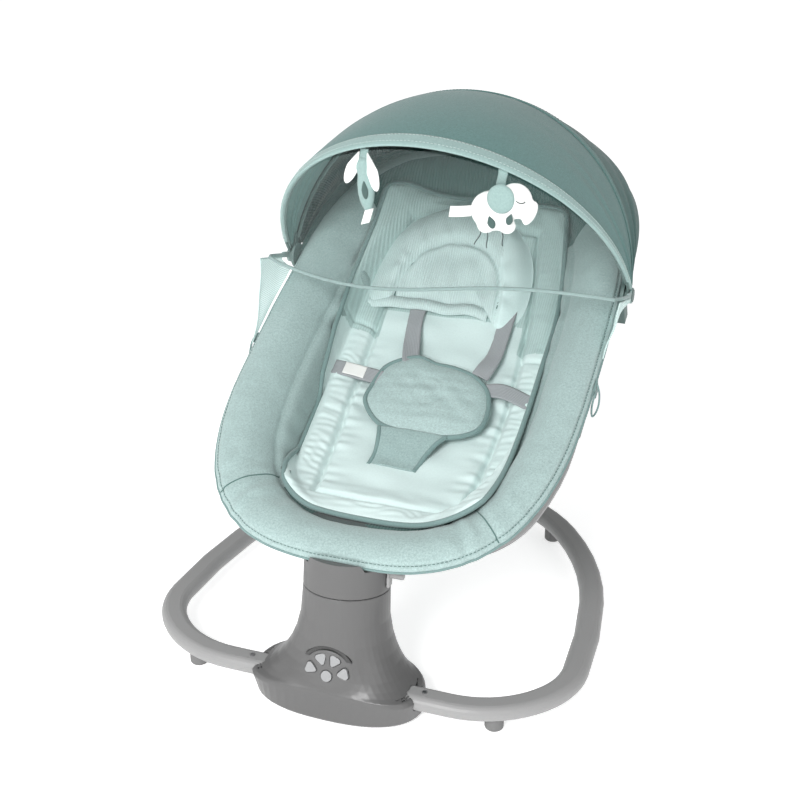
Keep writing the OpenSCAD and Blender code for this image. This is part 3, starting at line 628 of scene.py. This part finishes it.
seam_line = rim_line(OUTER_SEAM, 0.9)
seam_line = np.vstack([seam_line, seam_line[:1]])
stitches("rim_stitching", seam_line, THREAD, "seat", 5.2, 0.62, 0.5)
for mitre, name in zip(MITRES, ("mitre_seam_left", "mitre_seam_right")):
    rows, column = np.arange(64, 104), int(round(mitre / 360 * TURNS))
    line = basket[rows, column] + outward[rows, column] * 0.3
    tube(name, line, 0.9, THREAD, "seat")
tube("rim_piping", rim_line(PIPING, 0.4), 1.7, BINDING, "seat", closed=True)

# ------------------------------ the seat pad
PAD_FOOT, PAD_HEAD = -424.0, 180.0
PAD_WIDTH = np.array([[-424, 124], [-405, 137], [-385, 145], [-330, 152], [-250, 157], [-170, 160],
                      [-100, 160], [0, 157], [80, 151], [150, 143], [180, 137]], float)
UP = seat(0, 0, 1) - seat(0, 0, 0)
ALONG = seat(0, 1, 0) - seat(0, 0, 0)


def pad_half(s):
    return np.interp(s, PAD_WIDTH[:, 0], PAD_WIDTH[:, 1]) - 3


def wall_height(x, s):
    """Height of the basket's inner side over a point of the seat's plan."""
    inner = profile[80:]
    power = np.where(s < MIDDLE, FOOT_POWER, HEAD_POWER)
    reach = [np.where(s < MIDDLE, r[1], r[2]) for r in inner]
    level = np.stack([(np.abs(x) / r[0]) ** power + (np.abs(s - MIDDLE) / far) ** power
                      for r, far in zip(inner, reach)])
    k = np.clip((level < 1).sum(0) - 1, 0, len(inner) - 2)
    low, high = (np.take_along_axis(level, (k + i)[None], 0)[0] for i in (0, 1))
    t = np.clip((1 - low) / np.maximum(high - low, 1e-9), 0, 1)
    height, share = inner[:, 3], inner[:, 4]
    share = share[k] + (share[k + 1] - share[k]) * t
    return (height[k] + (height[k + 1] - height[k]) * t) - share * hollow(s)


PAD_COLUMNS, PAD_ROWS = 170, 300
a = np.linspace(-1, 1, PAD_COLUMNS)[None, :] * np.ones((PAD_ROWS, 1))
b = np.linspace(0, 1, PAD_ROWS)[:, None] * np.ones((1, PAD_COLUMNS))
near = np.clip((np.abs(a) - 0.66) / 0.34, 0, 1)
round_off = 1 - np.sqrt(1 - near ** 2)
s_low = PAD_FOOT + 62 * round_off + 6 * (np.abs(a) ** 2)
s_high = PAD_HEAD - 24 * round_off - 6 * (np.abs(a) ** 2)
s = s_low + (s_high - s_low) * b
across = a * pad_half(s)
side_gap = pad_half(s) - np.abs(across)
x = across - 0.05 * (s + 90)                          # the pad lies a little askew
foot_gap, head_gap = s - s_low, s_high - s
edge = np.minimum(side_gap, np.minimum(foot_gap, head_gap))
puff = 15 * (1 - np.exp(-np.maximum(edge, 0) / 11))
BOLSTER = 44                                          # width of the pad's raised border
channel = np.minimum(side_gap, foot_gap + 6) - BOLSTER
channel = np.where(s > 120, np.minimum(channel, head_gap - BOLSTER), channel)
puff -= 8.5 * bell(channel, 4.2) * step(edge, 6, 24)
bolster = (channel < 0) & (edge > 2)
lower = step(-s, 60, 130)
gather = 0.6 * np.sin(s / 2.1 + 4.5 * ripple(x, s, 21, 60)) + 1.1 * ripple(x * 0.22, s, 22, 15)
puff += 0.8 * gather * bolster * step(edge, 4, 18) * (0.25 + 0.75 * lower) * step(-channel, 1, 9)
puff += 1.6 * ripple(x * 0.5, s, 31, 42) * np.where(bolster, 0.35, 1.0) * step(edge, 4, 30)
puff += 1.6 * bell(channel - 6, 20) * ripple(x * 0.3, s, 33, 22) * lower * (channel > 0)
puff -= 5.0 * bell(s + 68 + 0.10 * x, 3.2) * bolster
cup = 15 * step(np.abs(across), 100, 158)             # the sides and ends curl up against the wall
cup = cup + 15 * step(-s, 345, 424) + 9 * step(s, 120, 180)
flat_w = -40 - 55 * hollow(s) + cup
over = wall_height(x, s) + 7 - flat_w
pad_w = flat_w + puff + (over + np.sqrt(over ** 2 + 25)) / 2
pad = seat(x, s, pad_w)
face_s, face_x = (s[:-1, :-1] + s[1:, 1:]) / 2, (across[:-1, :-1] + across[1:, 1:]) / 2
head_part = (face_s > -20 - 48 * (np.abs(face_x) > 104)).astype(int)
pad_obj = slab("seat_pad_quilt", pad, 10.0, [PAD, PAD_RIB, BINDING], "seat", np.stack([x, s], -1),
               head_part, 2)
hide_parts("seat_pad")
border = np.concatenate([pad[0], pad[1:, -1], pad[-1, ::-1][1:], pad[::-1, 0][1:-1]])
tube("pad_binding", border[::2] + 1.5 * UP, 3.6, BINDING, "seat", closed=True)

# ------------------------------ cushions that lie on the pad
CUSHION_RINGS, CUSHION_TURNS = 46, 220


def cushion(name, shape, centre, base, height, looks, body, which=None, foot=2.0):
    """A closed cushion: shape is its outline (across, along), height(r, x, s) its thickness."""
    rim = curve_through(shape, CUSHION_TURNS, closed=True)
    r = np.sin(np.linspace(0, 1, CUSHION_RINGS) * math.pi / 2)[:, None, None]
    flat = np.array(centre) + (rim[None] - np.array(centre)) * (0.02 + 0.98 * r)
    cx, cs = flat[..., 0], flat[..., 1]
    rr = np.broadcast_to(r[..., 0], cx.shape)
    up = height(rr, cx, cs)
    top = seat(cx, cs, pad_top(cs) + base + up)
    low = seat(cx, cs, pad_top(cs) + base - foot * (1 - rr ** 6))[::-1]
    rings_all = np.concatenate([top, low])
    uv = np.concatenate([flat, flat[::-1]])
    marks = None
    if which is not None:
        m = which((rr[:-1] + rr[1:]) / 2, (cx[:-1] + cx[1:]) / 2, (cs[:-1] + cs[1:]) / 2)
        marks = np.concatenate([m, np.zeros((CUSHION_RINGS, CUSHION_TURNS), int)])[::-1]
    return blob(name, rings_all[::-1], looks, body, uv[::-1], marks), rim


PILLOW_SHAPE = [(-150, -14), (-149, 36), (-140, 82), (-122, 118), (-86, 148), (-30, 168), (23, 158),
                (68, 124), (91, 83), (98, 37), (95, -1), (80, -30), (63, -31), (48, -16), (18, -8),
                (-25, -14), (-50, -11), (-90, -9), (-125, -20)]
ARCH_X, ARCH_S, ARCH_POWER = -16.0, -12.0, 2.4
ARCH_LEFT, ARCH_RIGHT, ARCH_TALL = 84, 74, 106


def arch_gap(px, ps):
    """Signed distance to the pillow's arch seam, negative inside it."""
    dx = np.abs(px - ARCH_X) / np.where(px < ARCH_X, ARCH_LEFT, ARCH_RIGHT)
    dy = np.maximum(ps - ARCH_S, 0) / ARCH_TALL
    return ((dx ** ARCH_POWER + dy ** ARCH_POWER) ** (1 / ARCH_POWER) - 1) * ARCH_RIGHT


def pillow_height(r, px, ps):
    d = arch_gap(px, ps)
    puff = 24 * (1 - r ** 5) ** 0.6
    puff -= 9 * (d < 0) * (1 - bell(d, 9)) + 9.5 * bell(d, 4.0)
    puff += 2.0 * ripple(px, ps * 0.6, 41, 38) * (1 - r ** 4) + 1.8 * bell(ps + 8, 14) * np.sin(px / 9.5)
    rays = np.sin(np.arctan2(ps + 6, px + 16) * 21 + ripple(px, ps, 44, 40))
    puff += 1.2 * (d > 4) * rays * bell(d - 8, 12)
    return np.maximum(puff, 0.6) * (1 - r ** 10)


pillow_obj, _ = cushion("head_pillow_cloth", PILLOW_SHAPE, (-24, 68), 5.0, pillow_height,
                        [PILLOW, PILLOW_SIDE], "seat",
                        lambda r, px, ps: ((px > 46) & (arch_gap(px, ps) > 0)).astype(int))
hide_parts("head_pillow")
t = np.linspace(0.05, math.pi - 0.05, 80)
arch_half = np.where(t < math.pi / 2, ARCH_LEFT, ARCH_RIGHT)
arch = np.stack([ARCH_X - arch_half * signed_power(np.cos(t), 2 / ARCH_POWER),
                 ARCH_S + ARCH_TALL * signed_power(np.sin(t), 2 / ARCH_POWER)], -1)
arch_w = pad_top(arch[:, 1]) + 16.6
tube("pillow_arch_seam", seat(arch[:, 0], arch[:, 1], arch_w), 0.9, THREAD, "seat")
HEM_SHAPE = [(-138, -14), (-110, -14), (-72, -9), (-40, -12), (-5, -11), (24, -10), (46, -14)]
hem = curve_through(HEM_SHAPE, 70)
hem_w = pad_top(hem[:, 1]) + 11 + 2.2 * np.sin(hem[:, 0] / 9.5)
hem_top = np.stack([seat(hem[:, 0], hem[:, 1] + 9, hem_w + 3.5), seat(hem[:, 0], hem[:, 1], hem_w + 1.5),
                    seat(hem[:, 0], hem[:, 1] - 8, hem_w - 1.5)])
slab("pillow_hem", hem_top, 2.2, [PILLOW], "seat", hem_top[..., :2])

WAIST_SHAPE = [(-77, -205), (-78, -173), (-71, -138), (-51, -119), (-27, -110), (0, -118), (29, -121),
               (62, -132), (85, -154), (96, -187), (95, -222), (76, -242), (41, -252), (-10, -251),
               (-47, -240)]


def waist_height(r, px, ps):
    waves = 0.8 * ripple(px, ps, 51, 44) + 0.7 * ripple(px * 0.5, ps, 53, 18)
    puff = 13 * (1 - r ** 4) ** 0.7 + waves * (1 - r ** 3)
    crease = bell(np.hypot(px - 2, ps + 176) - 26, 3.0) * step(px, -4, 10)
    return np.maximum(puff - 0.8 * crease, 0.5)


waist_obj, waist_rim = cushion("waist_pad_cloth", WAIST_SHAPE, (9, -182), 19.0, waist_height, [WAIST], "seat",
                               foot=4.0)
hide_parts("waist_pad")
waist_edge = seat(waist_rim[:, 0], waist_rim[:, 1], pad_top(waist_rim[:, 1]) + 20.5)
tube("waist_binding", waist_edge, 3.6, BINDING, "seat", closed=True, sides=10)

# Crotch panel, with tape along both edges
t = np.linspace(0, 1, 40)
panel_s = -250 - 62 * t
panel_mid = 8 - 12 * t
panel_half = 32 + 16 * (1 - t) ** 2.2
panel_w = pad_top(panel_s) + 20.5 - 17 * step(t, 0.0, 1.0)
k = np.linspace(-1, 1, 22)
px = panel_mid[:, None] + panel_half[:, None] * k[None]
pw = panel_w[:, None] + 2.5 * (1 - k[None] ** 2) + 0.6 * ripple(px, panel_s[:, None], 61, 22)
ps = np.broadcast_to(panel_s[:, None], px.shape)
panel = seat(px, ps, pw)
crotch_obj = slab("crotch_panel", panel, 3.0, [CROTCH], "seat", np.stack([px, ps], -1))
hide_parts("crotch_strap")
for name, column in (("crotch_binding_left", 0), ("crotch_binding_right", -1)):
    tube(name, panel[:, column] + 1.5 * UP, 3.4, BINDING, "seat")
slot_line = seat(np.linspace(-40, 32, 20), -314.0, pad_top(-313.0) + 1.5)
tube("crotch_slot_seam", slot_line, 1.6, THREAD, "seat")

# Harness webbing: two shoulder straps and two waist straps
STRAP_WIDE, STRAP_THICK, STRAP_POINTS = 25, 1.5, 60


def over_pad(points, count):
    """A curve through (across, along, height over the pad)."""
    p = curve_through(points, count)
    return seat(p[:, 0], p[:, 1], pad_top(p[:, 1]) + p[:, 2])


for name, tip, points in (
        ("shoulder_strap_left", 0.15,
         [(-60, 0, 7), (-57, -40, 9), (-50, -76, 13), (-41, -110, 20), (-37, -124, 21)]),
        ("shoulder_strap_right", -0.12,
         [(75, 12, 7), (76, -36, 9), (76, -80, 13), (72, -112, 20), (68, -130, 21)])):
    lean = np.stack([np.ones(STRAP_POINTS), np.linspace(0, tip, STRAP_POINTS),
                     0.35 * np.sin(np.linspace(0, 5, STRAP_POINTS))], -1)
    strap = webbing(name, over_pad(points, STRAP_POINTS), lean, STRAP_WIDE, STRAP_THICK, WEBBING, "seat")
for name, points in (
        ("waist_strap_left",
         [(-160, -140, 10), (-140, -143, 13), (-112, -148, 15), (-84, -156, 21), (-64, -160, 22)]),
        ("waist_strap_right",
         [(162, -160, 10), (140, -156, 15), (112, -148, 18), (92, -150, 21), (70, -160, 22)])):
    strap = webbing(name, over_pad(points, STRAP_POINTS), ALONG, STRAP_WIDE, STRAP_THICK, WEBBING, "seat")
for node_name in ("shoulder_straps", "waist_straps"):
    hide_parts(node_name)
tag_line = over_pad([(-132, -143, 15.5), (-114, -147, 18), (-96, -152, 20.5)], 16)
webbing("blank_tag", tag_line, ALONG, 21, 0.7, LABEL, "seat")

# ------------------------------ canopy
REAR, MIDDLE_BOW, FRONT_BOW = 26.5, 70.0, 126.0        # angles up from +Y
MIDDLE_REACH, FRONT_REACH = 252.0, 287.0
BOW_X = 248.8                                          # half the bows' width
CLOTH_SPAN = 4.6                                       # millimetres of cloth for a degree, for the weave


def dome(a, q, out=0.0):
    """A point on the canopy's cloth at an angle up from +Y and a place q along the bow, in degrees."""
    a, q = np.broadcast_arrays(np.asarray(a, float), q)
    front = np.clip((a - MIDDLE_BOW) / (FRONT_BOW - MIDDLE_BOW), 0, 1.1)
    rear = np.clip((MIDDLE_BOW - a) / (MIDDLE_BOW - REAR), 0, 1.05)
    reach = MIDDLE_REACH + 6 + (FRONT_REACH - MIDDLE_REACH - 1) * front ** 2.2 + 9 * rear
    half = BOW_X + 4 + 3.4 * front - 6 * rear
    power = 2 + 1.3 * rear
    c, sn = np.cos(np.radians(q)), np.sin(np.radians(q))
    return fan((half + out) * signed_power(c, 2 / power), (reach + out) * signed_power(sn, 2 / power), a)


def cloth_uv(q, a):
    return np.stack(np.broadcast_arrays(q * CLOTH_SPAN, a * CLOTH_SPAN), -1)


def canopy_panel(name, a_from, a_to, rows, looks, folds, seed):
    """Cloth stretched between two angles: it sags a little, and gathers into folds near the hubs."""
    a = np.linspace(a_from, a_to, rows)[:, None]
    q = np.linspace(1.2, 178.8, 260)[None, :]
    u = (a - a_from) / (a_to - a_from)
    side = np.abs(np.cos(np.radians(q)))
    out = -5.0 * (1 - side ** 4)
    out = out + folds * side ** 3 * np.sin(np.radians(a) * 26 + 2.0 * ripple(a * 2, q, seed, 60))
    out = out + 1.3 * ripple(a * 4.5, q * 4.0, seed + 1, 170)
    grid = dome(a, q, out * np.sin(math.pi * u))
    obj = slab(name, grid, 1.2, looks, uv=cloth_uv(q, a), under_look=1)
    return obj


# The rear cloth's tail, tucked down behind the rim
q = np.linspace(0.5, 179.5, 240)[None, :]
hang = dome(REAR + 0.6, q, -1.4)
tuck_x, tuck_s = outline(231, 324, 425, np.radians(12.5 + q * 155 / 180))
tucked = seat(tuck_x, tuck_s, -4)
k = np.linspace(0, 1, 14)[:, None]
tail = hang * (1 - k[..., None]) + tucked * k[..., None]
tail_uv = np.stack(np.broadcast_arrays(q * CLOTH_SPAN, k * 40), -1)
tail_obj = slab("canopy_tail_cloth", tail, 1.0, [CANOPY_REAR], "seat", tail_uv)

front_cloth = canopy_panel("canopy_front_cloth", MIDDLE_BOW, FRONT_BOW + 1, 84, [CANOPY, CANOPY_IN], 1.6, 71)
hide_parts("canopy_front")
tuple(fan(0, 112, MIDDLE_BOW + 1) * MM)
tuple(fan(0, 128, FRONT_BOW - 2) * MM)
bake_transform(front_cloth)
# The rear cloth's underside takes the dark lining colour: painted shade inside the hood.
rear_cloth = canopy_panel("canopy_rear_cloth", REAR, MIDDLE_BOW, 70, [CANOPY_REAR, REAR_LINING_PAINTED_SHADE], 2.6, 75)
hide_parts("canopy_rear")
tuple(fan(0, 112, REAR + 4) * MM)
tuple(fan(0, 112, MIDDLE_BOW - 4) * MM)
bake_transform(rear_cloth)


def band(name, edges, outs, look, body):
    """A tape along a bow: edges are angles and outs how far it stands off the cloth."""
    q = np.linspace(3, 177, 200)[None, :]
    a = np.array(edges, float)[:, None]
    grid = dome(a, q, np.array(outs, float)[:, None])
    slab(name, grid, 1.0, [look], body, cloth_uv(q, a))


band("canopy_hem", [123.4, 124.2, 125.4, 126.8, 127.8, 128.2, 127.6, 126.8],
     [0.9, 1.2, 1.3, 1.0, 0.2, -2.0, -4.4, -6.0], HEM, "canopy_front_bow")
band("middle_bow_tape", [67.6, 68.6, 70.0, 71.4, 72.4], [0.7, 1.9, 2.5, 1.9, 0.7], CANOPY, "canopy_middle")
for name, angle, out, look, body in (("hem_stitching_inner", 123.9, 1.5, THREAD_PALE, "canopy_front_bow"),
                                     ("hem_stitching_outer", 126.6, 1.6, THREAD_PALE, "canopy_front_bow"),
                                     ("tape_stitching_rear", 67.9, 1.3, THREAD, "canopy_middle"),
                                     ("tape_stitching_front", 72.1, 1.3, THREAD, "canopy_middle")):
    line = dome(angle, np.linspace(5, 175, 260), out)
    stitches(name, line, look, body, 5.0, 0.62, 0.45)

# ------------------------------ net, hoop and side nets
HOOP_TILT = math.radians(16.4)
HOOP_ARM = 99


def hoop_bar(u):
    """The hoop's cross bar, u from -1 at the left corner to 1 at the right."""
    u = np.asarray(u, float)
    c = 1 - u ** 2
    return np.stack([254 * u, HUB_Y - HOOP_ARM * math.cos(HOOP_TILT) - 22 * c,
                     HUB_Z + HOOP_ARM * math.sin(HOOP_TILT) - 10 * c + 12 * np.sin(math.pi * u)], -1)


q = np.linspace(9, 171, 200)
top = fan((BOW_X + 5) * np.cos(np.radians(q)), 289 * np.sin(np.radians(q)), FRONT_BOW + 2.6)
low = hoop_bar(np.cos(np.radians(q)) * 0.95) + np.array([0, 0, 2.6])
k = np.linspace(0, 1, 60)[:, None]
net = top[None] + (low - top)[None] * k[..., None]
net[..., 1] += np.sin(math.pi * k) * (5 * np.sin(np.radians(q)) + 2.2 * ripple(q * 3.0, k * 120, 81, 90))
net_uv = np.stack(np.broadcast_arrays(q[::-1] * CLOTH_SPAN, k * 215), -1)
net_obj = slab("insect_net_cloth", net[:, ::-1], 0.5, [NET], uv=net_uv)
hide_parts("insect_net")
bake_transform(net_obj)

for side, name in ((-1, "side_net_left"), (1, "side_net_right")):
    v = np.linspace(0, 1, 30)[:, None]
    u = np.linspace(0, 1, 40)[None, :]
    spread = 1.0 if side < 0 else 0.6
    upper = np.stack([258.5 + 0 * u, HUB_Y - 24 - 74 * u, HUB_Z + 3 + 22 * u], -1)
    lower = seat(243.5, -34 - 150 * spread * u, 3)
    grid = upper * (1 - v[..., None]) + lower * v[..., None]
    grid[..., 1] += 14 * np.sin(math.pi * v) * u ** 2 * spread
    grid[..., 0] = side * (grid[..., 0] + 1.2 * ripple(u * 90, v * 90, 91, 60))
    outer = grid[:, ::-side]
    obj = slab(name, outer, 0.6, [SIDE_NET], "hoop", outer[..., 1:])
    edge_line = np.concatenate([grid[:, -1][::-1], grid[0][::-1][1:]])
    tube(name + "_edge", edge_line, 1.0, THREAD_PALE, "hoop")
    if side < 0:
        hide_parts("side_nets")

# Elastic loops that hold the side nets down at the rim
for side, name in ((-1, "elastic_loop_left"), (1, "elastic_loop_right")):
    loop = curve_through([(246, -168, 2), (250, -176, -6), (251, -186, -16), (249, -196, -22),
                          (246, -204, -20), (245, -198, -8), (246, -182, 0)], 40)
    line = seat(side * loop[:, 0], loop[:, 1], loop[:, 2])
    tube(name, line, 1.3, BINDING, "seat")


# ------------------------------ hanging toys
def plush(name, balls, look, body):
    """A stuffed shape: balls are (centre, radii, turn about Y), melted into one skin."""
    shape = bmesh.new()
    for centre, radii, degrees in balls:
        made = bmesh.ops.create_icosphere(shape, subdivisions=3, radius=1.0)["verts"]
        c, sn = math.cos(math.radians(degrees)), math.sin(math.radians(degrees))
        for vert in made:
            px, py, pz = (vert.co[i] * radii[i] for i in range(3))
            at = (px * c - pz * sn + centre[0], py + centre[1], px * sn + pz * c + centre[2])
            vert.co = Vector(at) * MM
    mesh = bpy.data.meshes.new(name)
    shape.to_mesh(mesh)
    shape.free()
    obj = bpy.data.objects.new(name, mesh)
    bpy.context.scene.collection.objects.link(obj)
    mesh.materials.append(look)
    melt_and_relax(obj, 0.0021, 6, 0.6)
    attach(obj, body)
    return obj


def bow_hang(q):
    """A point on the front bow, at a place q along it in degrees."""
    q = math.radians(q)
    return fan((BOW_X + 3.3) * math.cos(q), FRONT_REACH * math.sin(q), FRONT_BOW)


def patch(name, centre, rx, rz, look, body, thick, degrees, pinch):
    """A small flat appliqué facing -Y; pinch draws its top to a point."""
    t = np.linspace(0, 2 * math.pi, 40, endpoint=False)
    r = np.linspace(0.04, 1, 8)[:, None]
    px = rx * r * np.cos(t) * (1 - pinch * np.clip(np.sin(t), 0, 1))
    pz = rz * r * np.sin(t)
    c, sn = math.cos(math.radians(degrees)), math.sin(math.radians(degrees))
    py = np.broadcast_to(-thick * (1 - r ** 4), px.shape)
    face = np.stack([centre[0] + px * c - pz * sn, centre[1] + py, centre[2] + px * sn + pz * c], -1)
    back = face.copy()
    back[..., 1] = centre[1] + 0.8
    return blob(name, np.concatenate([face, back[::-1]]), [look], body)


def hanging(hook, x, y, z):
    """A line of points given from the hook that a toy hangs on."""
    return hook + np.stack(np.broadcast_arrays(np.asarray(x, float), y, z), -1)


def add_patches(rows, hook, body):
    for name, offset, rx, rz, look, thick, degrees, pinch in rows:
        patch(name, hook + offset, rx, rz, look, body, thick, degrees, pinch)


hook = bow_hang(64.5)
elephant = plush("toy_elephant_plush", [
    (hook + (-12, 0, -60), (29, 11, 27), 10), (hook + (18, -1, -44), (23, 11, 24), -20),
    (hook + (38, -1, -58), (8, 7, 18), -24), (hook + (8, 0, -78), (12, 9, 11), 0),
    (hook + (-20, 0, -80), (12, 9, 11), 0), (hook + (-38, 0, -62), (7, 4, 4), 30)], PLUSH, "toy_one")
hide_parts("toy_elephant")
add_patches([("toy_elephant_ear", (2, -12.2, -40), 18, 19, PLUSH_MINT, 3.2, 0, 0),
             ("toy_elephant_spot_a", (-10, -11.0, -72), 5.2, 8.5, PLUSH_DARK, 1.2, 20, 0.6),
             ("toy_elephant_spot_b", (14, -10.4, -66), 4.6, 7.6, PLUSH_DARK, 1.2, -16, 0.6)], hook, "toy_one")
t = np.linspace(math.pi, 2 * math.pi, 14)
eyelid = hanging(hook, 28 + 5.5 * np.cos(t), -11.6, -40 + 3 * np.sin(t))
tube("toy_elephant_eye", eyelid, 0.7, STRING, "toy_one")
z = np.linspace(4.5, 34, 20)
ribbon = hanging(hook, 1.2 * np.sin(z / 5), -0.8, -z)
webbing("toy_elephant_ribbon", ribbon, (1, 0, 0), 12, 1.0, PLUSH_MINT, "toy_one")
t = np.linspace(0, 1, 14)
tag = hanging(hook, -38 - t * 30, -3 - 2 * np.sin(t * 3), -62 - 4 * t)
webbing("toy_elephant_tag", tag, (0.15, 0, 1), 15, 0.6, LABEL, "toy_one")
t = np.linspace(0, 1, 16)
for i, (dx, drop, sway) in enumerate(((-26, 22, -6), (-18, 25, 3), (2, 20, 4))):
    string = hanging(hook, dx + sway * t ** 1.5 + 1.5 * np.sin(5 * t), -3 - 2 * t, -84 - drop * t)
    tube(f"toy_elephant_string_{i}", string, 0.7, STRING, "toy_one")

hook = bow_hang(107.0)
bird = plush("toy_bird_plush", [
    (hook + (2, 0, -56), (12, 7.5, 33), 4), (hook + (-2, 0, -28), (12, 7.5, 13), 0),
    (hook + (6, 0, -88), (6, 4, 14), 10)], PLUSH_MINT, "toy_two")
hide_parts("toy_bird")
add_patches([("toy_bird_wing_left", (-15, -4, -30), 8, 24, PLUSH, 2.2, -24, 0.7),
             ("toy_bird_wing_right", (12, -4, -34), 8, 26, PLUSH, 2.2, 14, 0.7),
             ("toy_bird_belly", (3, -7.4, -58), 4.5, 12, PLUSH_DARK, 1.2, 6, 0.5)], hook, "toy_two")
z = np.linspace(4.5, 20, 16)
ribbon = hanging(hook, np.sin(z / 4), -0.8, -z)
webbing("toy_bird_ribbon", ribbon, (1, 0, 0), 11, 1.0, PLUSH_MINT, "toy_two")
t = np.linspace(0, 1, 12)
tag = hanging(hook, 8 - 6 * t, -4, -84 - 20 * t)
webbing("toy_bird_tag", tag, (1, 0, 0.35), 13, 0.6, LABEL, "toy_two")

# ------------------------------ hard parts
# They keep their own CAD shapes and are only shaded smooth; the housing also gets an even skin, because its
# flared sides are made of flat facets.
for node in frame["nodes"].values():
    if node.hide_render:
        continue
    with bpy.context.temp_override(object=node, active_object=node, selected_objects=[node],
                                   selected_editable_objects=[node]):
        bpy.ops.object.shade_smooth_by_angle(angle=math.radians(32))

melt_and_relax(frame["nodes"]["column_housing"], 0.001, 4, 0.5)

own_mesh(frame["nodes"]["lever_spring"])
